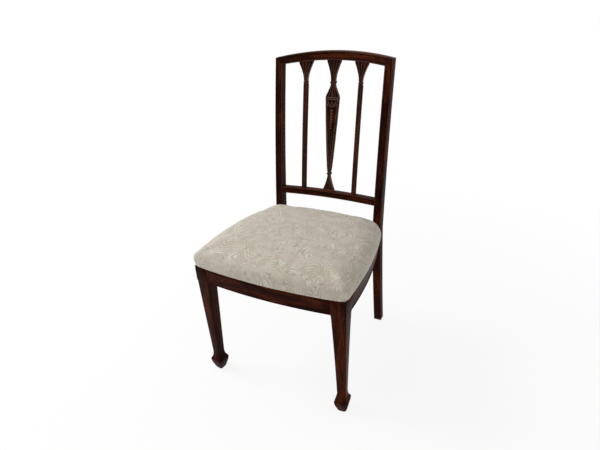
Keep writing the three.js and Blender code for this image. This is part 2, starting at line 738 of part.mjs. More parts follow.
function cornerBlockSolid(atBack) {
  const crossInner = atBack ? postInner - cornerBlock.backReach : legInner - cornerBlock.reach;
  const sideEnd = atBack ? postFrontY - cornerBlock.reach : legBack + cornerBlock.reach;
  const crossLip = atBack ? postFrontY - blockLip : frontY(legInner, seatRailThick) + blockLip;
  const outerY = atBack ? postFrontY : -frontBow;
  const plan = [
    new THREE.Vector2(crossInner, outerY),
    new THREE.Vector2(halfFront, outerY),
    new THREE.Vector2(halfFront, sideEnd),
    new THREE.Vector2(sideX(sideEnd, seatRailThick) - blockLip, sideEnd),
    new THREE.Vector2(crossInner, crossLip),
  ];
  const inside = prism(
    frameOutline(seatRailThick + clearance, postFrontY - clearance), blockUnderside, blockTop,
  );
  return prism(atBack ? plan.reverse() : plan, blockUnderside - overrun, blockTop + overrun)
    .intersect(inside)
    .subtract(legBlockSolid(clearance, railUnderside - overrun, seatFrameTop + overrun));
}

function revolved(points) {
  const profile = points.map(([a, b]) => new THREE.Vector2(a, b));
  return toSolid(flipIfInsideOut(new THREE.LatheGeometry(profile, screwSides)));
}

// A countersunk screw, its head's face at the origin and its point towards -Y.
function screwSolid(screw) {
  const { radius, head, headHeight, length } = screw;
  const points = [
    [0, 0], [head, 0], [radius, -headHeight], [radius, radius * 2 - length], [radius / 3, -length],
    [0, -length],
  ];
  return revolved(points);
}

// The hole that the screw needs, with a recess that lets its head in.
function screwHoleSolid(screw, recess) {
  const { radius, head, headHeight, length } = screw;
  const shank = radius + clearance;
  const mouth = head + clearance;
  const end = -length - clearance;
  const points = [
    [0, recess], [mouth, recess], [mouth, clearance], [shank, -headHeight], [shank, end], [0, end],
  ];
  return revolved(points);
}

const turnsForRail = {
  frontRail: (g) => g,
  backRail: (g) => g.rotateX(Math.PI),
  sideRail: (g) => g.rotateZ(Math.PI / 2),
  seat: (g) => g.rotateX(-Math.PI / 2),
};

function turned(solid, rail, from) {
  const geometry = turnsForRail[rail](toGeometry(solid)).translate(from.x, from.y, from.z);
  return toSolid(geometry);
}

// The three screws of a right-hand corner block: across, sideways and up into the seat.
function screwSeats(atBack) {
  const middle = (blockUnderside + blockTop) / 2;
  const standOff = blockScrew.length - seatRailThick * blockScrew.biteShare;
  const crossX = atBack ? postInner - blockScrew.setBack : legInner - blockScrew.setBack;
  const crossFace = atBack ? postFrontY - standOff : frontY(crossX, seatRailThick) + standOff;
  const sideY = atBack ? postFrontY - blockScrew.setBack * 2 : legBack + blockScrew.setBack;
  const seatX = atBack ? postInner : legInner;
  const seatY = atBack ? postFrontY - blockScrew.setBack : legBack + blockScrew.setBack * 2;
  return [
    {
      label: atBack ? 'to_back_rail' : 'to_front_rail', screw: blockScrew,
      rail: atBack ? 'backRail' : 'frontRail',
      from: new THREE.Vector3(crossX, crossFace, middle + blockScrew.pitch / 3),
    },
    {
      label: 'to_side_rail', screw: blockScrew, rail: 'sideRail',
      from: new THREE.Vector3(sideX(sideY, seatRailThick) - standOff, sideY, middle - blockScrew.pitch / 3),
    },
    {
      label: 'to_seat', screw: seatScrew, rail: 'seat',
      from: new THREE.Vector3(seatX, seatY, blockUnderside + seatScrew.headHeight / 2),
    },
  ];
}

function screwHoles(atBack, rails = ['frontRail', 'backRail', 'sideRail', 'seat']) {
  return screwSeats(atBack).filter(({ rail }) => rails.includes(rail)).map(({ screw, rail, from }) => (
    turned(screwHoleSolid(screw, rail === 'seat' ? overrun : cornerBlock.reach), rail, from)
  ));
}

function drilled(solid, holes) {
  return holes.reduce((left, hole) => left.subtract(hole), solid);
}

function drilledBothSides(solid, holes) {
  return drilled(drilled(solid, holes), holes.map((hole) => toSolid(mirrored(toGeometry(hole), -1))));
}

// Seat pad: outline by rays from its middle, crowned top, drawn-in corners
const padBack = postFrontY - pad.rearGap;
const padMiddleY = (padBack - frontBow) / 2;

function insideCorner(a, b, radius) {
  if (a >= radius || b >= radius) return Math.min(a, b) >= 0;
  return (radius - a) ** 2 + (radius - b) ** 2 <= radius ** 2;
}

function insidePad(x, y, margin) {
  const front = y - frontY(x, margin);
  const side = sideX(y, margin) - Math.abs(x);
  const back = padBack - margin - y;
  const frontRadius = Math.max(pad.frontRadius - margin, pad.frontRadius / 4);
  const backRadius = Math.max(pad.cornerRadius - margin, pad.cornerRadius / 4);
  return insideCorner(front, side, frontRadius) && insideCorner(back, side, backRadius);
}

function padOutline(margin, steps = outlineSteps.pad) {
  const outline = [];
  for (let i = 0; i < steps; i += 1) {
    const angle = 2 * Math.PI * (i + 1 / 2) / steps;
    let near = 0;
    let far = frontWidth;
    for (let k = 0; k < halvings; k += 1) {
      const reach = (near + far) / 2;
      const isIn = insidePad(Math.cos(angle) * reach, padMiddleY + Math.sin(angle) * reach, margin);
      if (isIn) near = reach;
      else far = reach;
    }
    outline.push(new THREE.Vector2(Math.cos(angle) * near, padMiddleY + Math.sin(angle) * near));
  }
  return outline;
}

const padBase = seatFrameTop + clearance;
const pocketHeight = seatFrame.thick + 2 * (webbing.thick + webbing.gap) + hessianThick + clearance;

function padTopZ(point, margin) {
  const toMiddle = THREE.MathUtils.clamp((margin + pad.overhang) / (halfFront - pad.overhang), 0, 1);
  const rise = (1 - (1 - toMiddle) ** pad.fullness) ** (1 / pad.shoulder);
  const toSide = Math.abs(point.x) / halfFront;
  const toEnd = Math.abs(point.y - padMiddleY) / padMiddleY;
  const cornering = Math.min(1, toSide * toEnd);
  return seatFrameTop + pad.bulgeHeight + (pad.crown - pad.bulgeHeight) * rise
    - pad.cornerSink * cornering ** 3 * rise;
}

function seatPadGeometry() {
  const ring = (margin, z) => padOutline(margin).map((p) => (
    new THREE.Vector3(p.x, p.y, z ?? padTopZ(p, margin))
  ));
  const rings = padSides.map(([out, up]) => ring(pad.overhang * out, padBase + pad.bulgeHeight * up));
  padTops.forEach((share) => rings.push(ring(pad.overhang * share)));
  const cap = rings[0].map((v) => new THREE.Vector2(v.x, v.y));
  const pocket = prism(padOutline(pad.cover, outlineSteps.pocket), padBase - overrun, padBase + pocketHeight);
  return toGeometry(toSolid(loft(rings, cap)).subtract(pocket));
}

// Seat frame inside the pad, its webbing and hessian
const seatFrameMargin = pad.cover + clearance;
const memberInnerY = seatFrameMargin + seatFrame.width;

function seatFrameRing() {
  const top = padBase + seatFrame.thick;
  return prism(padOutline(seatFrameMargin, outlineSteps.pocket), padBase, top)
    .subtract(prism(padOutline(memberInnerY, outlineSteps.inner), padBase - overrun, top + overrun));
}

function memberTenon(grow, atBack) {
  const x = halfFront - memberInnerY / 2 - (atBack ? seatFrame.tenonShift : 0);
  const seam = atBack ? padBack - memberInnerY : memberInnerY;
  const toward = atBack ? 1 : -1;
  const middle = padBase + seatFrame.thick / 2;
  return boxAt(
    x - seatFrame.width / 3 - grow, x + grow, seam - toward * overrun,
    seam + toward * (seatFrame.width / 3 + grow), middle - seatFrame.thick / 6 - grow,
    middle + seatFrame.thick / 6 + grow,
  );
}

function crossMemberGeometry(atBack) {
  const seam = atBack ? padBack - memberInnerY : memberInnerY;
  const far = atBack ? postFrontY : -frontWidth;
  const [near, end] = atBack ? [seam, far] : [far, seam];
  const top = padBase + seatFrame.thick + overrun;
  const body = seatFrameRing().intersect(boxAt(-frontWidth, frontWidth, near, end, padBase - overrun, top));
  const holes = [memberTenon(clearance, atBack), ...screwHoles(atBack, ['seat'])];
  return toGeometry(drilledBothSides(body, holes));
}

function sideMemberGeometry() {
  const span = boxAt(
    0, frontWidth, memberInnerY + clearance, padBack - memberInnerY - clearance,
    padBase - overrun, padBase + seatFrame.thick + overrun,
  );
  const body = seatFrameRing().intersect(span).add(memberTenon(0, false)).add(memberTenon(0, true));
  return toGeometry(drilled(body, [...screwHoles(false, ['seat']), ...screwHoles(true, ['seat'])]));
}

const webbingBase = padBase + seatFrame.thick + webbing.gap;

function webbingStrip(index, isLengthways) {
  const room = (isLengthways ? halfFront + postInner : padBack - memberInnerY * 2) / (webbing.count + 1);
  const offset = room * (index - (webbing.count - 1) / 2);
  const half = webbing.width / 2;
  const low = webbingBase + (isLengthways ? 0 : webbing.thick + webbing.gap);
  const middle = isLengthways ? offset : padMiddleY + offset;
  const strip = isLengthways
    ? boxAt(middle - half, middle + half, -frontWidth, postFrontY, low, low + webbing.thick)
    : boxAt(-frontWidth, frontWidth, middle - half, middle + half, low, low + webbing.thick);
  const outline = padOutline(seatFrameMargin + seatFrame.width / 4, outlineSteps.pocket);
  const trim = prism(outline, padBase, low + overrun);
  return toGeometry(strip.intersect(trim));
}

function hessianGeometry() {
  const low = webbingBase + 2 * (webbing.thick + webbing.gap) - webbing.gap + clearance;
  const outline = padOutline(seatFrameMargin + seatFrame.rebate, outlineSteps.pocket);
  return toGeometry(prism(outline, low, low + hessianThick - clearance));
}

// The whole chair
[['left', -1], ['right', 1]].forEach(([side, sign]) => {
  addPiece(`front_leg_${side}`, mirrored(frontLegGeometry(), sign), mahogany);
  addPiece(`back_post_${side}`, mirrored(postGeometry(), sign), mahogany);
  addPiece(`side_rail_${side}`, mirrored(sideRailGeometry(), sign), mahogany);
  addPiece(`splat_${side}`, sideSplatGeometry(sign), mahogany);
  addPiece(`seat_frame_${side}`, mirrored(sideMemberGeometry(), sign), beech);
  [['front', false], ['back', true]].forEach(([end, atBack]) => {
    const block = drilled(cornerBlockSolid(atBack), screwHoles(atBack));
    addPiece(`corner_block_${end}_${side}`, mirrored(toGeometry(block), sign), beech);
    screwSeats(atBack).forEach(({ label, screw, rail, from }) => {
      const placed = toGeometry(turned(screwSolid(screw), rail, from));
      addPiece(`screw_${end}_${side}_${label}`, mirrored(placed, sign), steel);
    });
  });
});
addPiece('front_rail', frontRailGeometry(), mahogany);
addPiece('back_rail', backRailGeometry(), mahogany);
addPiece('stay_rail', stayGeometry(), mahogany);
addPiece('crest_rail', crestGeometry(), mahogany);
addPiece('centre_splat', vaseGeometry(), mahogany);
addPiece('seat_frame_front', crossMemberGeometry(false), beech);
addPiece('seat_frame_back', crossMemberGeometry(true), beech);
for (let i = 0; i < webbing.count; i += 1) {
  addPiece(`webbing_lengthways_${i + 1}`, webbingStrip(i, true), jute);
  addPiece(`webbing_crossways_${i + 1}`, webbingStrip(i, false), jute);
}
addPiece('hessian', hessianGeometry(), jute);
addPiece('seat_pad', seatPadGeometry(), damask);

// The origin is the middle of the chair's footprint, on the floor.
const bounds = new THREE.Box3().setFromObject(chair);
chair.position.y = -(bounds.min.y + bounds.max.y) / 2;

export default chair;
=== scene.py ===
from math import atan2, cos, degrees, exp, hypot, pi, radians, sin, sqrt

import bmesh
import bpy
from mathutils import Matrix, Vector, noise


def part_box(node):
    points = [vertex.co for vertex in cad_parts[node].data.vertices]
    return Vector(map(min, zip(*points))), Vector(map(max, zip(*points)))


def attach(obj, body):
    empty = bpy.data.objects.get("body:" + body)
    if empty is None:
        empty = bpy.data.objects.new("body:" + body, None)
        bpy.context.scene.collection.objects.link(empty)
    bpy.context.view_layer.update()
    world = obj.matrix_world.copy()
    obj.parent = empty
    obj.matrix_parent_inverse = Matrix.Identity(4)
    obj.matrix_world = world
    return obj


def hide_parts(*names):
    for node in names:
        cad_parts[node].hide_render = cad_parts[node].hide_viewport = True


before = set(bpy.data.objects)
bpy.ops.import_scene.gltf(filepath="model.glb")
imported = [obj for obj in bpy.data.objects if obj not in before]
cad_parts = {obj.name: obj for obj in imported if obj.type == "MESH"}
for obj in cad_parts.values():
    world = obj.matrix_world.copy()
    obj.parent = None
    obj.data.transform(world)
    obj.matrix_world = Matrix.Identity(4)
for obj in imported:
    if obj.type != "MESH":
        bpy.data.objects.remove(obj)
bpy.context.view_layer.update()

# Dining chair with a square back of three carved splats and a damask seat pad.
# Shapes are worked out in millimetres in the frame's own axes, and toMetres places them.
mm = 0.001
scene = bpy.context.scene


def toMetres(x, y, z):
    return Vector((x * mm, y * mm, z * mm))


def clamp(value, low=0.0, high=1.0):
    return max(low, min(high, value))


def mix(a, b, share):
    return a + (b - a) * share


# 0 below one place and 1 above another, with a smooth rise between
def ease(low, high, value):
    share = clamp((value - low) / (high - low))
    return share * share * (3 - 2 * share)


def steps(start, end, count):
    return [mix(start, end, i / count) for i in range(count + 1)]


# A smooth curve through a few (place, size) points that never overshoots them.
def smoothThrough(points, at):
    at = clamp(at, points[0][0], points[-1][0])
    slopes = [(b[1] - a[1]) / (b[0] - a[0]) for a, b in zip(points, points[1:])]
    k = max(i for i, point in enumerate(points[:-1]) if point[0] <= at)

    def tangent(i):
        before, after = slopes[max(i - 1, 0)], slopes[min(i, len(slopes) - 1)]
        return 0.0 if before * after <= 0 else 2 * before * after / (before + after)

    span = points[k + 1][0] - points[k][0]
    t = (at - points[k][0]) / span
    a, b = points[k][1], points[k + 1][1]
    return (a * (1 + 2 * t) * (1 - t) ** 2 + b * t * t * (3 - 2 * t)
            + span * (tangent(k) * t * (1 - t) ** 2 - tangent(k + 1) * t * t * (1 - t)))


# An sRGB code as the linear colour that Blender takes
def hexColour(code):
    parts = [int(code[i:i + 2], 16) / 255 for i in (1, 3, 5)]
    return [p / 12.92 if p <= 0.04045 else ((p + 0.055) / 1.055) ** 2.4 for p in parts] + [1.0]


# Gives each input of a node a value, an sRGB code or the socket that feeds it.
def feed(tree, node, inputs):
    for name, value in inputs.items():
        if isinstance(value, bpy.types.NodeSocket):
            tree.links.new(value, node.inputs[name])
        else:
            node.inputs[name].default_value = hexColour(value) if isinstance(value, str) else value


def addNode(tree, kind, inputs=None, **settings):
    node = tree.nodes.new("ShaderNode" + kind)
    for name, value in settings.items():
        setattr(node, name, value)
    feed(tree, node, inputs or {})
    return node


def mathNode(tree, operation, a, b=0.0, c=0.0):
    return addNode(tree, "Math", {0: a, 1: b, 2: c}, operation=operation).outputs[0]


def vectorNode(tree, operation, inputs, output="Vector"):
    return addNode(tree, "VectorMath", inputs, operation=operation).outputs[output]


# Where a value lies between two limits, as a share or between two other values
def betweenNode(tree, value, limits, results=(0.0, 1.0), smooth=True):
    inputs = {"Value": value, "From Min": limits[0], "From Max": limits[1],
              "To Min": results[0], "To Max": results[1]}
    kind = "SMOOTHSTEP" if smooth else "LINEAR"
    return addNode(tree, "MapRange", inputs, interpolation_type=kind).outputs["Result"]


def blendNode(tree, share, a, b, kind="MIX"):
    inputs = {"Factor": share, 6: a, 7: b}
    return addNode(tree, "Mix", inputs, data_type="RGBA", blend_type=kind).outputs[2]


# Noise with lumps of about this width, in space or on the flat of a cloth
def noiseNode(tree, place, width, detail, roughness=0.5, distortion=0.0, flat=False, output="Fac"):
    inputs = {"Vector": place, "Scale": 1 / width, "Detail": detail, "Roughness": roughness,
              "Distortion": distortion}
    return addNode(tree, "TexNoise", inputs, noise_dimensions="2D" if flat else "3D").outputs[output]


def placeNode(tree):
    return addNode(tree, "TexCoord").outputs["Object"]


# Noise drawn out along the grain. The finishes give it as width in mm, stretch along the grain,
# detail, roughness and distortion.
def grainNode(tree, grain, width, stretch, *kind):
    scale = [1 / (width * mm) * (stretch if axis == grain else 1) for axis in "XYZ"]
    place = addNode(tree, "Mapping", {"Vector": placeNode(tree), "Scale": scale}).outputs["Vector"]
    return noiseNode(tree, place, 1, *kind)


def rampNode(tree, value, places, colours=("#ffffff", "#000000")):
    node = addNode(tree, "ValToRGB", {"Fac": value})
    stops = node.color_ramp.elements
    while len(stops) < len(places):
        stops.new(0.5)
    for stop, place, colour in zip(stops, places, colours):
        stop.position = place
        stop.color = hexColour(colour)
    return node.outputs["Color"]


# The depth is in mm.
def bumpNode(tree, height, strength, depth, invert=False):
    inputs = {"Height": height, "Strength": strength, "Distance": depth * mm}
    return addNode(tree, "Bump", inputs, invert=invert).outputs["Normal"]


# A material of one principled shader, whose inputs a finish works out. A veil goes over it.
def newMaterial(name, finish, *choices, veil=None):
    material = bpy.data.materials.new(name)
    material.use_nodes = True
    tree = material.node_tree
    tree.nodes.clear()
    surface = addNode(tree, "BsdfPrincipled", finish(tree, *choices)).outputs["BSDF"]
    addNode(tree, "OutputMaterial", {"Surface": veil(tree, surface) if veil else surface})
    return material


# Mahogany, stained dark, French polished and worn dull: red-brown with a ribbon figure, short dark pores
# along the grain, the hollows darkened by old wax and painted shade, and the ridges paled by wear and
# painted highlight.
mahogany = {
    "colours": ("#170301", "#2f0d03", "#58260b"), "tones": (0.46, 0.56, 0.7),
    # The wax colour darkens the pores and is also the painted shade in the hollows; the worn colour is the
    # painted highlight on the ridges, with wear.
    "wax": "#050201", "worn": "#85644f", "figureShare": 0.62, "fibreShare": 0.5,
    "figure": (26, 0.16, 3, 0.55, 0.6), "fibre": (1.6, 0.03, 4, 0.6), "pores": (0.7, 0.045, 2),
    "poreEdge": (0.34, 0.44), "poreStrength": 0.5, "poreDepth": 0.02,
    "figureRange": (0.3, 0.7), "roughness": (0.34, 0.48), "specular": 0.032,
}


def mahoganyFinish(tree, grain):
    m = mahogany
    figure, fibre, pores = (grainNode(tree, grain, *m[kind]) for kind in ("figure", "fibre", "pores"))
    fibreTone = mathNode(tree, "MULTIPLY", fibre, m["fibreShare"])
    tone = mathNode(tree, "MULTIPLY_ADD", figure, m["figureShare"], fibreTone)
    pored = rampNode(tree, pores, m["poreEdge"])
    colour = blendNode(tree, pored, rampNode(tree, tone, m["tones"], m["colours"]), m["wax"])
    # The carved pieces carry how far each point is a hollow or a ridge: hollows get wax with painted
    # shade, and ridges wear with painted highlight.
    for mark, tint in (("hollow", m["wax"]), ("ridge", m["worn"])):
        share = addNode(tree, "Attribute", attribute_name=mark).outputs["Fac"]
        colour = blendNode(tree, share, colour, tint)
    return {
        "Base Color": colour, "Specular IOR Level": m["specular"],
        "Roughness": betweenNode(tree, figure, m["figureRange"], m["roughness"], smooth=False),
        "Normal": bumpNode(tree, pored, m["poreStrength"], m["poreDepth"], invert=True),
    }


# Beech, planed and left bare: pale straw with short brown flecks along the grain.
beech = {
    "colours": ("#a77f4f", "#c9a574"), "tones": (0.35, 0.62), "fleck": "#7d5730",
    "bands": (9, 0.1, 4, 0.5, 0.8), "flecks": (0.9, 0.16, 1), "fleckEdge": (0.3, 0.38),
    "fleckStrength": 0.3, "fleckDepth": 0.1, "roughness": 0.62,
}


def beechFinish(tree, grain):
    b = beech
    bands, flecks = (grainNode(tree, grain, *b[kind]) for kind in ("bands", "flecks"))
    colour = rampNode(tree, bands, b["tones"], b["colours"])
    return {
        "Base Color": blendNode(tree, rampNode(tree, flecks, b["fleckEdge"]), colour, b["fleck"]),
        "Roughness": b["roughness"], "Normal": bumpNode(tree, flecks, b["fleckStrength"], b["fleckDepth"]),
    }


# Plain steel screws, bright once and dulled since: a dark grey with faint turning marks.
steel = {
    "colours": ("#5b5853", "#8c8983"), "tones": (0.35, 0.65), "markWidth": 0.5, "roughness": (0.35, 0.55),
}


def steelFinish(tree):
    s = steel
    marks = noiseNode(tree, placeNode(tree), s["markWidth"] * mm, 3)
    return {
        "Base Color": rampNode(tree, marks, s["tones"], s["colours"]), "Metallic": 1.0,
        "Roughness": betweenNode(tree, marks, (0, 1), s["roughness"], smooth=False),
    }


# Jute, spun coarse and woven plain: dull tan threads over and under with dark gaps.
jute = {
    "tones": (0.02, 0.3, 0.9), "slubWidth": 6, "slubShare": 0.5, "threadStrength": 0.8, "threadDepth": 0.4,
    "roughness": 0.95,
    "webbing": {"colours": ("#3d2f1c", "#6f5838", "#b0946a"), "thread": 1.6},
    "hessian": {"colours": ("#3d2f1c", "#6b5536", "#a58a5f"), "thread": 1.2},
}


def juteFinish(tree, cloth):
    j = jute
    place = placeNode(tree)
    parts = addNode(tree, "SeparateXYZ", {"Vector": place}).outputs
    turns = pi / (cloth["thread"] * mm)
    warp, weft = (mathNode(tree, "SINE", mathNode(tree, "MULTIPLY", parts[axis], turns)) for axis in "XY")
    over = mathNode(tree, "MULTIPLY", warp, weft)
    woven = rampNode(tree, mathNode(tree, "ABSOLUTE", over), j["tones"], cloth["colours"])
    slubs = noiseNode(tree, place, j["slubWidth"] * mm, 3, output="Color")
    return {
        "Base Color": blendNode(tree, j["slubShare"], woven, slubs, "MULTIPLY"),
        "Roughness": j["roughness"], "Normal": bumpNode(tree, over, j["threadStrength"], j["threadDepth"]),
    }


# Damask, cream on cream: leaves veined by fine parallel lines that run together into whorls, on a
# ribbed ground. The cloth has its own UV map, in metres, so the pattern turns down the sides.
damask = {
    "ground": "#c1b8a7", "leaf": "#cac2b3", "line": "#94897a", "lustre": "#ddd6ca",
    "whorl": 78, "linePitch": 5.4, "wander": 46, "driftWidth": 85, "leafWidth": 30,       # mm
    "lustreWidth": 24, "rib": 1.6, "ribLength": 30, "relief": 0.35,                       # mm
    "leafEdge": 0.49, "leafRange": (0.49, 0.52), "veinRange": (0.5, 0.53), "scrollRange": (0.48, 0.44),
    "lineRange": (0.0, 0.95), "outlineRange": (0.012, 0.004), "lustreRange": (0.45, 0.75),
    "softness": 0.5, "setApart": 0.37, "lineDepth": 0.6, "outline": 0.8, "lustreShare": 0.35,
    "ribShare": 0.4, "lineStrength": 0.6, "roughness": 0.72, "sheen": 0.2, "sheenRoughness": 0.5,
}


def damaskFinish(tree):
    d = damask
    cloth = addNode(tree, "UVMap", uv_map="cloth").outputs["UV"]

    def maths(operation, a, b=0.0):
        return mathNode(tree, operation, a, b)

    def between(value, limits):
        return betweenNode(tree, value, d[limits])

    drift = noiseNode(tree, cloth, d["driftWidth"] * mm, 1, flat=True, output="Color")
    centred = vectorNode(tree, "SUBTRACT", {0: drift, 1: (0.5, 0.5, 0.5)})
    shift = vectorNode(tree, "SCALE", {0: centred, "Scale": d["wander"] * mm})
    place = vectorNode(tree, "ADD", {0: cloth, 1: shift})
    # Two sets of whorls: the leaves carry one, and the ground between them the other.
    perWhorl = 2 * pi * d["whorl"] / d["linePitch"]
    sets = []
    for offset in (0.0, d["setApart"]):
        moved = vectorNode(tree, "ADD", {0: place, 1: (offset, offset, 0)})
        whorls = addNode(tree, "TexVoronoi", voronoi_dimensions="2D", feature="SMOOTH_F1")
        feed(tree, whorls, {"Vector": moved, "Scale": 1 / (d["whorl"] * mm), "Smoothness": d["softness"]})
        wave = maths("SINE", maths("MULTIPLY", whorls.outputs["Distance"], perWhorl))
        sets.append(between(wave, "lineRange"))
    shape = noiseNode(tree, place, d["leafWidth"] * mm, 1, flat=True)
    veins = maths("MULTIPLY", sets[0], between(shape, "veinRange"))
    scrolls = maths("MULTIPLY", sets[1], between(shape, "scrollRange"))
    edge = maths("ABSOLUTE", maths("SUBTRACT", shape, d["leafEdge"]))
    outline = maths("MULTIPLY", between(edge, "outlineRange"), d["outline"])
    lines = maths("MAXIMUM", outline, maths("ADD", veins, scrolls))
    uneven = noiseNode(tree, cloth, d["lustreWidth"] * mm, 3, 0.6, flat=True)
    lustrous = maths("MULTIPLY", between(uneven, "lustreRange"), d["lustreShare"])
    scale = (1 / (d["rib"] * mm), 1 / (d["ribLength"] * mm), 1.0)
    ribs = addNode(tree, "Mapping", {"Vector": cloth, "Scale": scale}).outputs["Vector"]
    thread = noiseNode(tree, ribs, 1, 1, flat=True, output="Color")
    colour = blendNode(tree, between(shape, "leafRange"), d["ground"], d["leaf"])
    colour = blendNode(tree, lustrous, colour, d["lustre"])
    colour = blendNode(tree, maths("MULTIPLY", lines, d["lineDepth"]), colour, d["line"])
    return {
        "Base Color": blendNode(tree, d["ribShare"], colour, thread, "SOFT_LIGHT"),
        "Roughness": d["roughness"], "Sheen Weight": d["sheen"], "Sheen Roughness": d["sheenRoughness"],
        "Normal": bumpNode(tree, lines, d["lineStrength"], d["relief"], invert=True),
    }


mahoganyUp = newMaterial("mahogany, grain upright", mahoganyFinish, "Z")
mahoganyAcross = newMaterial("mahogany, grain across", mahoganyFinish, "X")
mahoganyDeep = newMaterial("mahogany, grain front to back", mahoganyFinish, "Y")
beechAcross = newMaterial("bare beech, grain across", beechFinish, "X")
beechDeep = newMaterial("bare beech, grain front to back", beechFinish, "Y")
screwSteel = newMaterial("dulled screw steel", steelFinish)
webbingCloth = newMaterial("jute webbing", juteFinish, jute["webbing"])
hessianCloth = newMaterial("hessian", juteFinish, jute["hessian"])
damaskCloth = newMaterial("cream damask", damaskFinish)
print("materials made")


def addObject(name, data):
    obj = bpy.data.objects.new(name, data)
    scene.collection.objects.link(obj)
    return obj


def meshObject(name, bm):
    mesh = bpy.data.meshes.new(name)
    bm.to_mesh(mesh)
    bm.free()
    return addObject(name, mesh)


# Grows faces from a ring of edges: returns their new points and the ring of new edges.
def growRing(bm, edges):
    grown = bmesh.ops.extrude_edge_only(bm, edges=edges)["geom"]
    fresh = {part for part in grown if isinstance(part, bmesh.types.BMVert)}
    ring = [part for part in grown if isinstance(part, bmesh.types.BMEdge)
            and part.verts[0] in fresh and part.verts[1] in fresh]
    return fresh, ring


# Draws a closed section along its stations: the first ring is set point by point, and each
# next one is extruded from the last and moved to its place.
def drawOut(bm, section, stations, place, marks=()):
    order = bm.verts.layers.int.new("order")
    layers = [bm.verts.layers.float.new(name) for name in marks]

    def settle(vert, station):
        placed = place(section[vert[order]], station)
        vert.co, *values = placed if marks else [placed]
        for layer, value in zip(layers, values):
            vert[layer] = value

    ring = []
    for i in range(len(section)):
        vert = bm.verts.new((0, 0, i))
        vert[order] = i
        settle(vert, stations[0])
        ring.append(vert)
    edges = [bm.edges.new((ring[i - 1], ring[i])) for i in range(len(ring))]
    bmesh.ops.contextual_create(bm, geom=edges)
    for station in stations[1:]:
        fresh, edges = growRing(bm, edges)
        for vert in fresh:
            settle(vert, station)
    bmesh.ops.contextual_create(bm, geom=edges)


# Makes a bmesh a finished piece that rides on the chair.
def finishPiece(name, bm, material, nodes, sharp=38):
    bmesh.ops.recalc_face_normals(bm, faces=bm.faces)
    piece = meshObject(name, bm)
    piece.data.materials.append(material)
    piece.data.shade_smooth()
    piece.data.set_sharp_from_angle(angle=radians(sharp))
    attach(piece, "root")
    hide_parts(*nodes)
    return piece


# A wooden piece drawn out along its stations. It is shaped for the right side, and sign -1
# mirrors it to the left.
def drawnPiece(name, node, material, section, stations, place, marks=(), sign=1, sharp=38):
    bm = bmesh.new()
    drawOut(bm, section, stations, place, marks)
    if sign < 0:
        bmesh.ops.scale(bm, vec=(-1, 1, 1), verts=bm.verts)
        bmesh.ops.reverse_faces(bm, faces=bm.faces)
    finishPiece(name, bm, material, [node], sharp)


# Where the frame has one side of a piece, in mm: end 0 is its low side and 1 its high side
def sideOf(node, end, axis):
    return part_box(node)[end][axis] / mm


# Lines of the chair that several pieces share, read from the frame where it has them
seat = {
    "top": sideOf("front_leg_right", 1, 2), "underside": sideOf("side_rail_right", 0, 2),
    "back": sideOf("back_rail", 0, 1),
    "halfFront": 233, "frontBow": 17, "sideBow": 16, "thick": 22, "depth": 398,
}
seat["corner"] = seat["back"] - seat["depth"]         # y of the front legs' outer corners
joint = 0.3                                           # gap at every joint
sides = (("left", -1), ("right", 1))

posts = {
    "outerAtSeat": 188.5, "outerAtTop": sideOf("back_post_right", 1, 0), "width": 26, "depthTop": 22.5,
    "depthSeat": 30, "depthFoot": 25, "footKick": 46, "footBend": 3.2, "rake": 76, "rakeBend": 4.9,
    "bead": 4.6, "sunk": 1.5, "arris": 1.3, "mouldedAbove": (4, 26), "softFoot": 1.2, "footEase": 0.7,
}
crest = {"height": 20, "arch": 12, "cornerDrop": 18, "bow": 20}
crest["cornerTop"] = sideOf("crest_rail", 1, 2) - crest["cornerDrop"]
crest["cornerLow"] = crest["cornerTop"] - crest["height"]
stay = {
    "underside": sideOf("stay_rail", 0, 2), "height": 21, "depth": 20, "bow": 12,
    "bead": 4.4, "sunk": 1.3, "arris": 1.0,
}


# A shallow bow between two ends: all of its rise in the middle and none at the ends
def bowed(rise, x, end):
    return rise * (1 - (x / end) ** 2)


def frontY(x):
    return seat["corner"] - bowed(seat["frontBow"], x, seat["halfFront"])


def sideX(y):
    along = (y - seat["corner"]) / seat["depth"]
    return mix(seat["halfFront"], posts["outerAtSeat"], along) + 4 * seat["sideBow"] * along * (1 - along)


def postFaceY(z):
    if z < seat["top"]:
        down = (seat["top"] - z) / seat["top"]
        return seat["back"] + posts["footKick"] * down - 4 * posts["footBend"] * down * (1 - down)
    up = (z - seat["top"]) / (crest["cornerTop"] - seat["top"])
    return seat["back"] + posts["rake"] * up - 4 * posts["rakeBend"] * up * (1 - up)


def postDepth(z):
    end = 0 if z < seat["top"] else crest["cornerTop"]
    endDepth = posts["depthFoot"] if z < seat["top"] else posts["depthTop"]
    away = min(1, abs(z - seat["top"]) / abs(end - seat["top"]))
    return endDepth + (posts["depthSeat"] - endDepth) * (1 - away) ** 2


def postOuterX(z):
    slope = (posts["outerAtTop"] - posts["outerAtSeat"]) / (crest["cornerTop"] - seat["top"])
    return posts["outerAtSeat"] + slope * (z - seat["top"])


# A moulded face: a round bead along each edge, a quirk beside it and a sunk field between.
moulding = {
    "quirk": (0.35, 0.5, 1.4),                                         # mm past the bead
    "quirkRise": 0.95, "fieldRise": 0.96, "fieldAt": (0.35, 0.7),
    # The wax marks paint shade into the quirks and the worn marks paint highlight onto the beads, together
    # with real wax and wear.
    "waxAt": 0.8, "waxWidth": 1.0, "worn": 0.2, "wornWidth": 1.2,
}
# Hollow and ridge marks: painted shade with wax, and painted highlight with wear
wearAndLightMarks = ("hollow", "ridge")


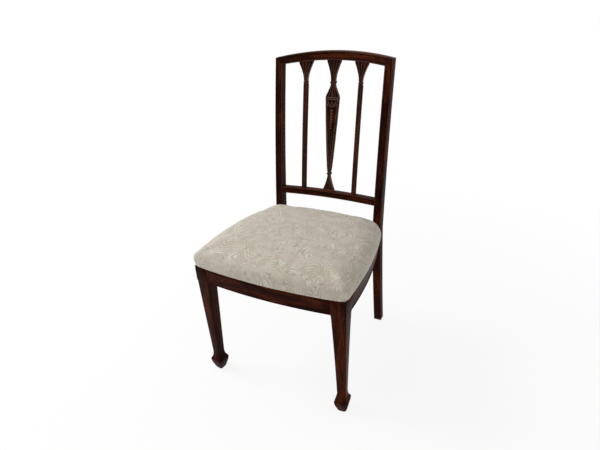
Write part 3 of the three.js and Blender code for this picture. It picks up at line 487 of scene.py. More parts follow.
# Points are (across, depth behind the face, share of the moulding), once round the section.
def mouldedSection(width, depth, bead, sunk, arris):
    m = moulding
    radius = bead / 2
    left = [(radius + radius * cos(turn), radius - radius * sin(turn)) for turn in steps(pi, 0, 9)[:-1]]
    lip, low, fieldFrom = (bead + past for past in m["quirk"])
    rise, field = radius * m["quirkRise"], sunk * m["fieldRise"]
    left += [(bead, rise), (lip, rise), (low, sunk), (fieldFrom, field)]
    left += [(mix(fieldFrom, width / 2, share), field) for share in m["fieldAt"]]
    right = [(width - across, behind) for across, behind in reversed(left)]
    back = []
    for corner, start in ((width - arris, 0), (arris, pi / 2)):
        for turn in steps(start, start + pi / 2, 3):
            back.append((corner + arris * cos(turn), depth - arris + arris * sin(turn)))
    front = left + [(width / 2, field)] + right
    return [(a, b, 1.0) for a, b in front] + [(a, b, 0.0) for a, b in back]


# How dark and how pale a point of a moulding is painted: wax with painted shade lies in the quirks, and
# wear with painted highlight on the beads.
def mouldingMarks(across, width, bead, share):
    m = moulding
    edge = min(across, width - across)
    hollow = exp(-((edge - bead - m["waxAt"]) / m["waxWidth"]) ** 2)
    ridge = m["worn"] * exp(-((edge - bead / 2) / m["wornWidth"]) ** 2)
    return hollow * share, ridge * share


def buildPost(side, sign):
    p = posts
    section = mouldedSection(p["width"], 1, p["bead"], p["sunk"], 0)
    plain, moulded = (seat["top"] + above for above in p["mouldedAbove"])
    mitre = crest["cornerLow"]
    stations = [0, p["softFoot"]] + steps(12, seat["top"], 30) + steps(seat["top"] + 6, mitre - 1.5, 66)

    def place(point, level):
        across, behind, isFront = point
        share = across / p["width"]
        fade = ease(plain, moulded, level)
        z = level + (crest["height"] * share - joint if level == mitre else 0)
        x = postOuterX(z) - p["width"] + across
        if isFront:
            # Where the post is plain its two front arrises are only eased.
            easing = p["arris"] * clamp(1 - min(across, p["width"] - across) / p["arris"]) ** 2
            y = postFaceY(z) + mix(easing, behind, fade)
        else:
            y = postFaceY(z) + postDepth(level)
        if level == 0:
            inward = p["softFoot"] * p["footEase"]
            x += inward * (1 - 2 * share)
            y += inward if isFront else -inward
        hollow, ridge = mouldingMarks(across, p["width"], p["bead"], isFront * fade)
        return toMetres(x, y, z), hollow, ridge

    drawnPiece(f"post_{side}", f"back_post_{side}", mahoganyUp,
               section, stations + [mitre], place, wearAndLightMarks, sign)


def crestEnd(share):
    return postOuterX(crest["cornerLow"]) - posts["width"] * (1 - share)


def crestEdge(x, share):
    low = crest["cornerLow"] + bowed(crest["arch"], x, crestEnd(0))
    high = crest["cornerTop"] + bowed(crest["cornerDrop"], x, crestEnd(1))
    return mix(low, high, share)


def buildCrest():
    p = posts
    section = mouldedSection(p["width"], p["depthTop"], p["bead"], p["sunk"], p["arris"])

    def place(point, along):
        across, behind, isFront = point
        share = across / p["width"]
        x = crestEnd(share) * along
        z = crestEdge(x, share)
        y = postFaceY(z) + bowed(crest["bow"], x, crestEnd(share)) + behind
        return toMetres(x, y, z), *mouldingMarks(across, p["width"], p["bead"], isFront)

    drawnPiece("crest", "crest_rail", mahoganyAcross, section, steps(-1, 1, 90), place, wearAndLightMarks)


def buildStay():
    s = stay
    section = mouldedSection(s["height"], s["depth"], s["bead"], s["sunk"], s["arris"])

    def place(point, along):
        up, behind, isFront = point
        z = s["underside"] + up
        end = postOuterX(z) - posts["width"]
        x = (end - joint) * along
        y = postFaceY(z) + bowed(s["bow"], x, end) + behind
        return toMetres(x, y, z), *mouldingMarks(up, s["height"], s["bead"], isFront)

    drawnPiece("stay", "stay_rail", mahoganyAcross, section, steps(-1, 1, 60), place, wearAndLightMarks)


for side, sign in sides:
    buildPost(side, sign)
buildCrest()
buildStay()
print("back frame made")

# Front legs: square and tapered, turned a little outward at the ankle, on spade feet.
# The spade is (height, size) pairs, in mm.
frontLeg = {
    "block": 42, "taperTop": 39, "cove": 9, "ankle": 25, "turn": 7, "arris": 1.7, "wornArris": 6,
    "wornUpTo": 34, "topEase": 1.6,
    "spade": [(0, 21.5), (1.2, 24), (13, 31.6), (25, 37.2), (33, 39.6), (37.5, 40), (40, 39.2), (43, 35.4),
              (50, 29.4), (58, 26), (68, 25)],
}
spadeTop = frontLeg["spade"][-1][0]
taperEnd = seat["underside"] - frontLeg["cove"]
legX = seat["halfFront"] - frontLeg["block"] / 2
legY = (seat["corner"] + frontY(legX) + frontLeg["block"]) / 2
legInner = legX - frontLeg["block"] / 2
legBack = legY + frontLeg["block"] / 2


def legSize(z):
    f = frontLeg
    if z < spadeTop:
        return smoothThrough(f["spade"], z)
    if z < taperEnd:
        return mix(f["ankle"], f["taperTop"], (z - spadeTop) / (taperEnd - spadeTop))
    # The cove is a quarter round that swells to the block.
    rise = clamp((z - taperEnd) / f["cove"])
    return mix(f["taperTop"], f["block"], 1 - sqrt(1 - rise * rise))


def buildLeg(side, sign):
    f = frontLeg
    blockCorners = [(seat["halfFront"], frontY(seat["halfFront"])), (sideX(legBack), legBack),
                    (legInner, legBack), (legInner, frontY(legInner))]
    section = [(corner, i / 4) for corner in range(4) for i in range(5)]
    middle = Vector((legX, legY))
    top, underside = seat["top"], seat["underside"]
    stations = steps(0, 70, 56) + steps(76, taperEnd, 34) + steps(taperEnd + 0.8, underside, 10)
    stations += [underside + 1.0, mix(underside, top, 0.5), top - 1.2, top]

    def cornerAt(k, size, up):
        angle = radians(f["turn"]) + (k * 2 - 1) * pi / 4
        square = Vector((cos(angle), sin(angle))) * size / sqrt(2)
        asBlock = (Vector(blockCorners[k]) - middle) * size / f["block"]
        return square.lerp(asBlock, up * up) + middle

    def place(point, z):
        corner, rounding = point
        up = clamp((z - spadeTop) / (underside - spadeTop))
        size = f["block"] if z > underside else legSize(z)
        if z == top:
            size -= f["topEase"]
        here, before, after = (cornerAt((corner + k) % 4, size, up) for k in (0, 3, 1))
        # An eased arris: a quarter round between the two faces.
        turn = pi / 2 * rounding
        toBefore, toAfter = (before - here).normalized(), (after - here).normalized()
        arris = mix(f["wornArris"], f["arris"], ease(0, f["wornUpTo"], z))
        spot = here + (toBefore * (1 - sin(turn)) + toAfter * (1 - cos(turn))) * arris
        return toMetres(spot.x, spot.y, z)

    drawnPiece(f"leg_{side}", f"front_leg_{side}", mahoganyUp, section, stations, place, sign=sign)


# Seat rails: a board bowed in plan, its edges eased, with a thin quirk below the top edge.
# The quirk's shape is in shares of its depth and of its width.
rails = {
    "edge": 1.6, "quirkAt": 5.2, "quirk": 0.9, "quirkWide": 1.1,
    "quirkShape": [(0, -1), (1, -0.6), (1, 0), (0, 0.4)],
}


def railSection():
    r = rails
    height = seat["top"] - seat["underside"]
    section = []
    for low, outer in ((True, True), (False, True), (False, False), (True, False)):
        for turn in steps(0, pi / 2, 3) if low == outer else steps(pi / 2, 0, 3):
            behind = r["edge"] * (1 - cos(turn))
            up = r["edge"] * (1 - sin(turn))
            section.append((behind if outer else seat["thick"] - behind, up if low else height - up))
        if low and outer:
            top = height - r["quirkAt"]
            section += [(r["quirk"] * a, top + r["quirkWide"] * b) for a, b in r["quirkShape"]]
    return section


def placeFrontRail(point, x):
    behind, up = point
    return toMetres(x, frontY(x) + behind, seat["underside"] + up)


def placeSideRail(point, y):
    behind, up = point
    return toMetres(sideX(y) - behind, y, seat["underside"] + up)


frontStations = steps(joint - legInner, legInner - joint, 60)
sideStations = steps(legBack + joint, seat["back"] - joint, 48)
for side, sign in sides:
    buildLeg(side, sign)
    drawnPiece(f"rail_{side}", f"side_rail_{side}", mahoganyDeep,
               railSection(), sideStations, placeSideRail, sign=sign)
drawnPiece("rail_front", "front_rail", mahoganyAcross, railSection(), frontStations, placeFrontRail)
print("legs and rails made")

# Splats: carved faces on flat backs, from the stay rail's bow below to the crest's bow above.
# The flare is how far a fan has opened at shares of its height.
splats = {
    "inset": 3, "foot": stay["underside"] + stay["height"], "headSpacing": 91.2, "footSpacing": 88.2,
    # The wear and wax numbers set the painted highlight on ridges and the painted shade in hollows,
    # together with real wear and wax.
    "arris": 0.8, "proudest": 1.4, "wear": 1.5, "wearReach": 0.8, "waxFrom": 2.4, "waxed": 0.6,
    "flare": [(0, 0), (0.23, 0.095), (0.4, 0.23), (0.6, 0.465), (0.78, 0.71), (0.88, 0.877), (1, 1)],
    "collarBow": 1.3, "vein": 0.35, "veinWidth": 0.06, "fluteEnd": 0.1,
}
sideSplat = {
    "bar": 14.8, "thick": 11, "fan": 45.6, "fanHeight": 58, "neck": 11, "collar": 15.6, "collarHeight": 5,
    "collarSunk": 0.5, "collarRise": 1.4, "flutes": 4, "flute": 2.2, "reeds": 2, "reed": 1.8, "across": 36,
}
# Beads are (middle, half height, how far proud). A collar's are shares of its height, and the
# foot's row of them is (half height, pitch, how far proud). Leaves and flutes are (count, depth),
# nicks and scallops (depth, pitch, splay).
vase = {
    "thick": 12, "fan": 46, "fanHeight": 60, "neck": 14.2, "collar": 19.6, "collarHeight": 7, "flutes": 4,
    "flute": 2.1, "collarBeads": [(0.27, 0.26, 1.0), (0.76, 0.23, 0.8)], "collarSunk": 0.9, "across": 66,
    "border": 4.3, "borderShare": 0.23, "borderRound": 1.1, "quirk": 0.7, "quirkSunk": 0.5, "panel": 2.1,
    "ring": (537.5, 544.5), "ringWidth": 15.6, "ringNeck": 8.4, "ringBead": (541, 3.1, 1.3),
    "band": 768, "bandBeads": [(770.2, 1.7, 0.9), (775.2, 2.1, 0.9)], "shoulder": 778, "sunk": 1.4,
    "foot": [(484, 38.4), (488, 37.6), (492, 35.4), (498, 30), (508, 22.4), (519, 15.6), (528, 11),
             (537.5, 8.4)],
    "body": [(544.5, 8.4), (548, 10.6), (553, 13), (585, 19.6), (617, 24.8), (648, 29.4), (678, 33.4),
             (708, 37.6), (738, 40.8), (753, 42.8), (766, 44), (776, 44.6)],
    "head": [(776, 44.6), (781, 42), (789, 34.6), (798, 26.4), (806, 19), (812, 15.2), (818, 14)],
    "husks": 7, "huskTop": 741, "huskPitch": 9.0, "huskWide": 9.5, "huskTaper": 0.06, "huskRise": 2.3,
    "fluteTop": 676, "panelFlutes": (3, 1.5), "footBeads": (1.9, 3.6, 0.7), "footLeaves": (6, 1.5),
    "nicks": (0.8, 6.5, 2.2), "headLeaves": (4, 1.9), "scallops": (0.5, 5.5, 2),
    "boss": (0, 784, 2.9, 4.0), "bossRise": 2.2, "bossGroove": (0, 784, 4.3, 5.4),
}
# Carved lobes are (x, height, half width, half height, lean). A husk's hang from its top, and
# are drawn for one 9 mm wide.
husk = {
    "wide": 9,
    "petals": [(0, -5.2, 1.5, 4.2, 0), (-2.3, -4.4, 1.3, 3.7, 0.5), (2.3, -4.4, 1.3, 3.7, -0.5)],
    "bud": (0, -0.9, 1.6, 1.3, 0), "budRise": 1.1,
}
swag = {
    "above": 742, "reach": 13, "low": 752.5, "hang": 8.5, "half": 2.9,
    "foldReach": 10.5, "foldDrop": 4.6, "foldHalf": 1.5, "foldRise": 0.7,
    "boss": (13.2, 761.5, 2.8, 2.8), "tail": (14.2, 754, 1.3, 4.6),
    "rosette": 760.5, "radius": 3.6, "petals": 6, "petalDepth": 0.25, "rosetteRise": 1.1,
}


def splatHead(x):
    return crestEdge(x, 0) - joint


def splatFaceY(x, z):
    up = clamp((z - splats["foot"]) / (splatHead(x) - splats["foot"]))
    low = bowed(stay["bow"], x, postOuterX(z) - posts["width"])
    high = bowed(crest["bow"], x, crestEnd(0))
    return postFaceY(z) + splats["inset"] + mix(low, high, up)


def flutedDepth(u, count, depth):
    return depth * abs(sin(count * pi * (u + 1) / 2)) ** 0.85


# How deep round beads lie at a height, or the depth between them
def beadedDepth(z, beads, between):
    for middle, half, proud in beads:
        t = (z - middle) / half
        if abs(t) < 1:
            return -proud * sqrt(1 - t * t)
    return between


def lobe(x, z, cx, cz, wide, tall, lean=0.0):
    dx, dz = x - cx, z - cz
    a = dx * cos(lean) + dz * sin(lean)
    b = dz * cos(lean) - dx * sin(lean)
    inside = 1 - (a / wide) ** 2 - (b / tall) ** 2
    return sqrt(inside) if inside > 0 else 0.0


# A bellflower husk: a bud above, one upright petal and two that lean out
def huskRise(x, z, top, size):
    def rise(cx, drop, wide, tall, lean):
        return lobe(x, z, cx * size, top + drop * size, wide * size, tall * size, lean)

    return max(rise(*husk["bud"]) * husk["budRise"], *(rise(*petal) for petal in husk["petals"]))


# A swag between two bosses, with a small rosette over it
def swagRise(x, z):
    s = swag
    low = s["low"] + s["hang"] * (x / s["reach"]) ** 2
    cloth = lobe(0, z, 0, low, 1, s["half"]) if abs(x) < s["reach"] else 0.0
    fold = lobe(0, z, 0, low - s["foldDrop"], 1, s["foldHalf"]) if abs(x) < s["foldReach"] else 0.0
    boss = max(lobe(abs(x), z, *s["boss"]), lobe(abs(x), z, *s["tail"]))
    petal = 1 + s["petalDepth"] * (cos(s["petals"] * atan2(z - s["rosette"], x or 0.01)) - 1)
    rosette = lobe(x, z, 0, s["rosette"], s["radius"] * petal, s["radius"] * petal)
    return max(cloth, fold * s["foldRise"], boss, rosette * s["rosetteRise"])


def fanWidth(spec, up):
    return mix(spec["neck"], spec["fan"], smoothThrough(splats["flare"], up))


# Fan leaves: deep flutes between sharp ridges, each with a fine vein and a rounded upper end
def fanDepth(spec, u, up):
    across = (u + 1) / 2 * spec["flutes"] % 1 - 0.5
    vein = splats["vein"] * exp(-(across / splats["veinWidth"]) ** 2) * ease(0.25, 0.6, up)
    rounded = clamp((1 - up) / splats["fluteEnd"] - 2.4 * across * across)
    closing = sqrt(1 - (1 - rounded) ** 2)
    return (flutedDepth(u, spec["flutes"], spec["flute"] * mix(0.5, 1, ease(0, 0.5, up))) - vein) * closing


def vaseWidth(z, collarFoot):
    v = vase
    low, high = v["ring"]
    if z < low:
        return smoothThrough(v["foot"], z)
    if z <= high:
        middle = (low + high) / 2
        swell = sqrt(max(0, 1 - ((z - middle) / (high - middle)) ** 2))
        return mix(v["ringNeck"], v["ringWidth"], swell)
    if z < v["body"][-1][0]:
        return smoothThrough(v["body"], z)
    if z < collarFoot:
        return smoothThrough(v["head"], z)
    up = (z - collarFoot) / v["collarHeight"]
    return v["neck"] + (v["collar"] - v["neck"]) * abs(sin(2 * pi * up)) ** 0.6


# The vase's body: a rounded border, a quirk and a sunk panel, fluted below, with a chain of
# husks down its middle and a swag across its top
def panelDepth(x, z, width):
    v = vase
    border = min(v["border"], width * v["borderShare"])
    edge = width / 2 - abs(x)
    if edge < border:
        return v["borderRound"] * (1 - sqrt(max(0, 1 - (2 * edge / border - 1) ** 2)))
    if edge < border + v["quirk"]:
        return v["panel"] + v["quirkSunk"]
    across = x / (width / 2 - border - v["quirk"])
    fluting = ease(v["fluteTop"] + 6, v["fluteTop"] - 4 - 5 * across ** 2, z)
    rises = [swagRise(x, z) if z > swag["above"] else 0.0]
    for i in range(v["husks"]):
        top = v["huskTop"] - v["huskPitch"] * i
        if abs(z - top + 4) < 8:
            rises.append(huskRise(x, z, top, v["huskWide"] / husk["wide"] * (1 - v["huskTaper"] * i)))
    count, deep = v["panelFlutes"]
    return v["panel"] - (deep - flutedDepth(across, count, deep)) * fluting - v["huskRise"] * max(rises)


def vaseDepth(x, z, width, collarFoot):
    v = vase
    u = x / (width / 2)
    up = z - splats["foot"]
    if z < v["ring"][0]:
        # A row of small beads, and leaves nicked along their edges above it
        half, pitch, proud = v["footBeads"]
        if up < 2 * half:
            return -proud * lobe(0, up, 0, half, 1, half) * abs(sin(pi * x / pitch))
        deep, pitch, splay = v["nicks"]
        return flutedDepth(u, *v["footLeaves"]) + deep * abs(sin(pi * up / pitch + splay * abs(u))) ** 6
    if z <= v["ring"][1]:
        return beadedDepth(z, [v["ringBead"]], 0.6) + 1.5 * u * u
    if z < v["band"]:
        return panelDepth(x, z, width)
    if z < v["shoulder"]:
        depth = beadedDepth(z, v["bandBeads"], v["sunk"])
        return depth + 0.7 * max(0, abs(u) - 0.85) / 0.15 if depth < 0 else depth
    if z < collarFoot:
        # Leaves that close in to the collar, with a small boss in a groove at their foot
        boss = lobe(x, z, *v["boss"])
        if boss > 0:
            return v["sunk"] - v["bossRise"] * boss
        up = (z - v["shoulder"]) / (collarFoot - v["shoulder"])
        deep, pitch, splay = v["scallops"]
        scallop = deep * abs(sin(pi * (z / pitch + splay * abs(u)))) ** 5
        count, deep = v["headLeaves"]
        leaves = flutedDepth(u, count, deep * (1 - 0.4 * up)) + scallop
        return max(leaves, 1.8) if lobe(x, z, *v["bossGroove"]) > 0 else leaves
    depth = beadedDepth((z - collarFoot) / v["collarHeight"], v["collarBeads"], v["collarSunk"])
    return depth + splats["collarBow"] * u * u


def sideWidth(z, collarFoot):
    s = sideSplat
    if z < collarFoot:
        return mix(s["bar"], s["neck"], ease(collarFoot - 5, collarFoot, z))
    return mix(s["neck"], s["collar"], sin(pi * (z - collarFoot) / s["collarHeight"]) ** 0.6)


def sideDepth(x, z, width, collarFoot):
    s = sideSplat
    u = x / (width / 2)
    if z >= collarFoot:
        t = (z - collarFoot) / s["collarHeight"] * 2 - 1
        bead = s["collarRise"] * sqrt(max(0, 1 - t * t))
        return s["collarSunk"] - bead + splats["collarBow"] * u * u
    # The reeds fade out just over the stay rail and just under the collar.
    fade = ease(splats["foot"] + 3, splats["foot"] + 9, z) * ease(collarFoot - 1, collarFoot - 6, z)
    return fade * s["reed"] * (1 - abs(sin(s["reeds"] * pi * (u + 1) / 2)) ** 0.7)


# A splat: the width and the depth below its fan are its own, and the fan is of one kind.
def buildSplat(name, node, side, spec, widthBelow, depthBelow, stations):
    s = splats
    section = [(u, "face") for u in steps(-1, 1, spec["across"])]
    section += [(1, "side")] + [(u, "back") for u in steps(1, -1, 4)] + [(-1, "side")]
    head = splatHead(side * s["headSpacing"])
    fanFoot = head - spec["fanHeight"]
    collarFoot = fanFoot - spec["collarHeight"]

    def depthAt(x, z, width):
        if z < fanFoot:
            return depthBelow(x, z, width, collarFoot)
        return fanDepth(spec, x / (width / 2), (z - fanFoot) / spec["fanHeight"])

    def place(point, z):
        u, kind = point
        up = (z - fanFoot) / spec["fanHeight"]
        width = fanWidth(spec, up) if up >= 0 else widthBelow(z, collarFoot)
        middle = side * mix(s["footSpacing"], s["headSpacing"], (z - s["foot"]) / (head - s["foot"]))
        dx = u * (width / 2 - (s["arris"] if kind == "back" else 0))
        # The fan's top follows the crest rail's arch.
        level = z + (splatHead(middle + dx) - head) * clamp(up)
        behind = spec["thick"] - (s["arris"] if kind == "side" else 0)
        hollow, ridge = 0.0, 0.0
        if kind == "face":
            depth = depthAt(dx, z, width)
            behind = max(depth, -s["proudest"]) + s["arris"] * ease(0.93, 1.0, abs(u))
            # Ridges are painted pale, as wear with painted highlight, and hollows dark, as wax with
            # painted shade that deepens into the relief, by how far the relief bends here.
            h = s["wearReach"]
            around = [depthAt(dx + a, z + b, width) for a, b in ((-h, 0), (h, 0), (0, -h), (0, h))]
            bend = (sum(around) / 4 - depth) / h * s["wear"]
            hollow = clamp(clamp(depth / s["waxFrom"]) ** 1.2 * s["waxed"] - bend)
            ridge = clamp(bend)
        return toMetres(middle + dx, splatFaceY(middle + dx, level) + behind, level), hollow, ridge

    drawnPiece(name, node, mahoganyUp, section, stations, place, wearAndLightMarks, sharp=60)


foot = splats["foot"] + joint
top = splatHead(splats["headSpacing"])
collar = top - sideSplat["fanHeight"] - sideSplat["collarHeight"]
levels = steps(foot, foot + 10, 8) + steps(foot + 16, collar - 8, 50) + steps(collar - 7, top, 76)
for side, sign in sides:
    buildSplat(f"carved_splat_{side}", f"splat_{side}", sign, sideSplat, sideWidth, sideDepth, levels)
levels = steps(foot, 546, 74) + steps(548, 664, 56) + steps(665, splatHead(0), 250)
buildSplat("carved_splat_centre", "centre_splat", 0, vase, vaseWidth, vaseDepth, levels)
print("splats carved")

# Seat pad: a crowned cushion blown up by cloth simulation from a slightly smaller form, its
# cover turned under on top of the rails. A pocket below takes the seat frame and its webbing.
pad = {
    "overhang": 15, "frontShare": 0.45, "rearShare": 0.2, "bulge": 14, "crown": 68, "fullness": (3.8, 2.2),
    "frontRadius": 4, "rearRadius": 35, "leastShare": 0.25, "rearSpread": 1.8, "rearOver": 2,
    "sink": {"front": 4, "rear": 22}, "sinkPower": 2.4,
    "shrunk": 1.0, "points": 120, "below": 9, "held": 1.5,
    "sides": [(0.1, 0), (-0.45, 0.3), (-0.88, 0.64)],       # overhang shares out, bulge shares up
    "tops": [-1, -0.85, -0.5, 0.2, 1.4, 3.4, 6.5, 11, 18, 26, 33],
    "voxel": 5.5, "pressure": 4.0, "frames": 20, "swell": 4.5, "tightness": 6,
    "postSide": 30, "cover": 3, "pocket": 23.1, "shoulder": 437, "lumps": 0.7, "lumpWidth": 95,
    "pleats": [(-16, 1.1), (-5, 1.5), (7, 1.2), (18, 0.8)],         # degrees round the corner, mm deep
    "pleatWidth": 2.6, "pleatHeight": 26, "pleatReach": 3, "pleatSplay": 0.4,
}
padBack = seat["back"] + pad["rearOver"]
padBase = seat["top"] + joint
padMiddle = (padBack + seat["corner"] - seat["frontBow"]) / 2


# Whether a point this far inside two edges lies inside their rounded corner
def insideCorner(a, b, radius):
    if a >= radius or b >= radius:
        return min(a, b) >= 0
    return (radius - a) ** 2 + (radius - b) ** 2 <= radius ** 2


def insidePad(x, y, margin):
    # The overhang is widest at the sides, and the rear corners round off more where it is wide.
    p = pad
    within, out = max(margin, 0), min(margin, 0)
    front = y - frontY(x) - within - out * p["frontShare"]
    side = sideX(y) - margin - abs(x)
    back = padBack - y - within - out * p["rearShare"]
    frontRadius = max(p["frontRadius"] - margin, p["frontRadius"] * p["leastShare"])
    rearRadius = p["rearRadius"] - margin - out * (p["rearSpread"] - 1)
    rearRadius = max(rearRadius, p["rearRadius"] * p["leastShare"])
    return insideCorner(front, side, frontRadius) and insideCorner(back, side, rearRadius)


# The point of the pad's outline in one direction from its middle, found by halving
def padEdge(angle, margin):
    near, far = 0.0, 2 * seat["halfFront"]
    across, along = cos(angle), sin(angle)
    for halving in range(24):
        reach = (near + far) / 2
        if insidePad(across * reach, padMiddle + along * reach, margin):
            near = reach
        else:
            far = reach
    return across * near, padMiddle + along * near


def padTop(x, y, margin):
    toMiddle = min(1, (margin + pad["overhang"]) / (seat["halfFront"] - pad["overhang"]))
    rise = (1 - (1 - toMiddle) ** pad["fullness"][0]) ** (1 / pad["fullness"][1])
    cornering = min(1, abs(x) / seat["halfFront"] * abs(y - padMiddle) / (padMiddle - seat["corner"]))
    sink = pad["sink"]["rear" if y > padMiddle else "front"] * cornering ** pad["sinkPower"] * rise
    return seat["top"] + pad["bulge"] + (pad["crown"] - pad["bulge"]) * rise - sink


def padForm():
    p = pad
    angles = [2 * pi * (i + 0.5) / p["points"] for i in range(p["points"])]
    rings = [(p["overhang"] * p["sides"][0][0], padBase - p["below"], 0.0)]
    rings += [(p["overhang"] * out, padBase + p["bulge"] * up, up) for out, up in p["sides"]]
    rings += [(p["overhang"] * share, None, 1.0) for share in p["tops"]]

    def place(angle, ring):
        margin, z, shrink = ring
        x, y = padEdge(angle, margin + p["shrunk"] * shrink)
        return toMetres(x, y, (padTop(x, y, margin) - p["shrunk"]) if z is None else z)

    bm = bmesh.new()
    drawOut(bm, angles, rings, place)
    bmesh.ops.recalc_face_normals(bm, faces=bm.faces)
    form = meshObject("pad form", bm)
    remesh = form.modifiers.new("even faces", "REMESH")
    remesh.mode = "VOXEL"
    remesh.voxel_size = p["voxel"] * mm
    return form


def bakedMesh(obj):
    graph = bpy.context.evaluated_depsgraph_get()
    return bpy.data.meshes.new_from_object(obj.evaluated_get(graph))


# Blows the form up like stuffing under its cover, and caps how far any point moves.
def stuff(form):
    p = pad
    held = form.vertex_groups.new(name="held")
    held.add([v.index for v in form.data.vertices if v.co.z < (padBase + p["held"]) * mm], 1.0, "REPLACE")
    cloth = form.modifiers.new("stuffing", "CLOTH")
    cloth.settings.use_pressure = True
    cloth.settings.uniform_pressure_force = p["pressure"]
    cloth.settings.effector_weights.gravity = 0
    cloth.settings.vertex_group_mass = "held"
    cloth.point_cache.frame_end = p["frames"]
    for frameNumber in range(1, p["frames"] + 1):
        scene.frame_set(frameNumber)
    swollen = bakedMesh(form)
    for before, after in zip(form.data.vertices, swollen.vertices):
        moved = after.co - before.co
        if moved.length > p["swell"] * mm:
            moved *= p["swell"] * mm / moved.length
        before.co += moved
    form.modifiers.clear()
    bpy.data.meshes.remove(swollen)
    scene.frame_set(1)


# Small folds where the cover is drawn round the front corners, and the stuffing's unevenness
def padFolds(x, y, z):
    p = pad
    toSide, toFront = abs(x) - seat["halfFront"] + p["frontRadius"], seat["corner"] + p["frontRadius"] - y
    turn = degrees(atan2(toFront, toSide)) - 45
    near = hypot(toFront, toSide)
    low = clamp(1 - (z - padBase) / p["pleatHeight"])
    fold = 0.0
    if near < p["pleatReach"] * p["frontRadius"]:
        for at, depth in p["pleats"]:
            across = radians(turn - at * (1 + p["pleatSplay"] * (1 - low))) * near
            fold = max(fold, depth * low ** 0.7 * exp(-(across / p["pleatWidth"]) ** 2))
    lump = noise.noise(Vector((x, y, z)) / p["lumpWidth"]) * p["lumps"]
    return lump * ease(padBase, padBase + p["bulge"], z) - fold


def buildPad():
    p = pad
    form = padForm()
    form.data = bakedMesh(form)
    form.modifiers.clear()
    stuff(form)
    drawn = form.modifiers.new("cover drawn tight", "SMOOTH")
    drawn.iterations = p["tightness"]
    fineness = form.modifiers.new("smooth cover", "SUBSURF")
    fineness.levels = 1
    fineness.render_levels = 1
    bm = bmesh.new()
    bm.from_mesh(bakedMesh(form))
    bpy.data.objects.remove(form)
    bmesh.ops.bisect_plane(bm, geom=bm.verts[:] + bm.edges[:] + bm.faces[:], clear_inner=True,
                           plane_co=(0, 0, padBase * mm), plane_no=(0, 0, 1), dist=0.2 * mm)
    bm.normal_update()
    folded = [(vert, vert.co + vert.normal * padFolds(*(vert.co / mm)) * mm) for vert in bm.verts]
    for vert, spot in folded:
        if vert.co.z > (padBase + 1) * mm:
            vert.co = spot
            # The rear corners are pressed flat against the posts.
            x, y, z = spot / mm
            if abs(x) > postOuterX(z) - p["postSide"]:
                vert.co.y = min(y, postFaceY(z) - joint) * mm
    # The cover is turned under, and the pocket rises inside it.
    under, rim = growRing(bm, [edge for edge in bm.edges if edge.is_boundary])
    for vert in under:
        x, y = padEdge(atan2(vert.co.y / mm - padMiddle, vert.co.x / mm), p["cover"])
        vert.co = toMetres(x, y, padBase)
    pocket, rim = growRing(bm, rim)
    for vert in pocket:
        vert.co.z = (padBase + p["pocket"]) * mm
    bmesh.ops.contextual_create(bm, geom=rim)
    bm.normal_update()
    # The cloth is laid flat on top, and unrolled down the sides from the shoulder.
    cloth = bm.loops.layers.uv.new("cloth")
    for face in bm.faces:
        for loop in face.loops:
            drop = max(0.0, p["shoulder"] * mm - loop.vert.co.z)
            spot = loop.vert.co + loop.vert.normal * drop
            loop[cloth].uv = (spot.x, spot.y)
    piece = finishPiece("seat_cushion", bm, damaskCloth, ["seat_pad"], sharp=80)


buildPad()
print("seat pad stuffed")


# Pieces inside and behind keep their frame's shape and take their own finishes.
hidden = {
    "back_rail": mahoganyAcross, "hessian": hessianCloth, "screw_": screwSteel, "webbing_": webbingCloth,
    "corner_block_": beechAcross, "seat_frame_": beechAcross,
    "seat_frame_left": beechDeep, "seat_frame_right": beechDeep,
}
for name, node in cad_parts.items():
    for start, material in hidden.items():
        if name.startswith(start):
            node.data.materials.clear()
            node.data.materials.append(material)
print("hidden pieces finished")

# Floor, light and camera. Places are in metres.
studio = {
    "floor": {"Base Color": "#fafaf8", "Roughness": 0.9, "Specular IOR Level": 0.1}, "floorSize": 60,
    "floorShare": (0.87, 1.0), "floorFade": (0.5, 1.8), "world": "#ffffff", "worldStrength": 0.5,
    "key": {"place": (-2.6, -0.4, 2.7), "aim": (0, 0, 0.45), "size": 1.6, "watts": 80},
    "fill": {"place": (2.4, -1.6, 1.2), "aim": (0, 0, 0.45), "size": 2.2, "watts": 6},
}
view = {"place": (0.58824, -1.11877, 1.0676), "yaw": 28.38, "pitch": -26.31, "roll": -3.29, "lens": 27.98}


# 1 on the rays that show the background: straight to the camera, mirrored or through glass
def seenDirectly(tree):
    ray = addNode(tree, "LightPath").outputs
    mirrored = mathNode(tree, "MAXIMUM", ray["Is Camera Ray"], ray["Is Glossy Ray"])
    return mathNode(tree, "MAXIMUM", mirrored, ray["Is Transmission Ray"])


# White at full strength over another surface, by a share
def whiteOver(tree, surface, share, kind):
    white = addNode(tree, kind, {"Color": "#ffffff", "Strength": 1.0}).outputs[0]
    return addNode(tree, "MixShader", {"Fac": share, 1: surface, 2: white}).outputs["Shader"]


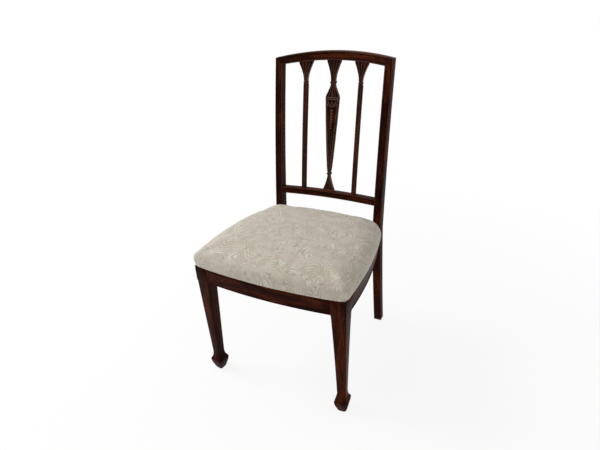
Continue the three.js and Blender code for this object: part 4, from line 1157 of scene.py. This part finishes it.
def floorFinish(tree):
    return studio["floor"]


# The floor is lit and shadowed near the chair, and fades into plain white away from it.
def floorVeil(tree, surface):
    away = vectorNode(tree, "LENGTH", {0: placeNode(tree)}, "Value")
    fade = betweenNode(tree, away, studio["floorFade"], studio["floorShare"])
    return whiteOver(tree, surface, mathNode(tree, "MULTIPLY", seenDirectly(tree), fade), "Emission")


def makeFloor():
    bm = bmesh.new()
    bmesh.ops.create_grid(bm, x_segments=1, y_segments=1, size=studio["floorSize"] / 2)
    floor = meshObject("floor", bm)
    floor.data.materials.append(newMaterial("pale floor", floorFinish, veil=floorVeil))


def makeWorld():
    world = bpy.data.worlds.new("studio")
    scene.world = world
    world.use_nodes = True
    tree = world.node_tree
    tree.nodes.clear()
    light = addNode(tree, "Background", {"Color": studio["world"], "Strength": studio["worldStrength"]})
    surface = whiteOver(tree, light.outputs["Background"], seenDirectly(tree), "Background")
    addNode(tree, "OutputWorld", {"Surface": surface})


def makeLamp(name):
    lamp = studio[name]
    data = bpy.data.lights.new(name, "AREA")
    data.energy = lamp["watts"]
    data.size = lamp["size"]
    obj = addObject(name, data)
    obj.location = lamp["place"]
    ahead = Vector(lamp["aim"]) - Vector(lamp["place"])
    obj.rotation_euler = ahead.to_track_quat("-Z", "Y").to_euler()


def makeCamera():
    data = bpy.data.cameras.new("camera")
    data.sensor_width = 36
    data.lens = view["lens"]
    camera = addObject("camera", data)
    yaw, pitch, roll = (radians(view[name]) for name in ("yaw", "pitch", "roll"))
    ahead = Vector((-sin(yaw) * cos(pitch), cos(yaw) * cos(pitch), sin(pitch)))
    right = Vector((cos(yaw), sin(yaw), 0))
    up = right.cross(ahead)
    across = right * cos(roll) + up * sin(roll)
    upward = up * cos(roll) - right * sin(roll)
    turn = Matrix((across, upward, -ahead)).transposed()
    camera.matrix_world = Matrix.Translation(view["place"]) @ turn.to_4x4()
    scene.camera = camera


makeFloor()
makeWorld()
makeLamp("key")
makeLamp("fill")
makeCamera()
scene.view_settings.view_transform = "Standard"
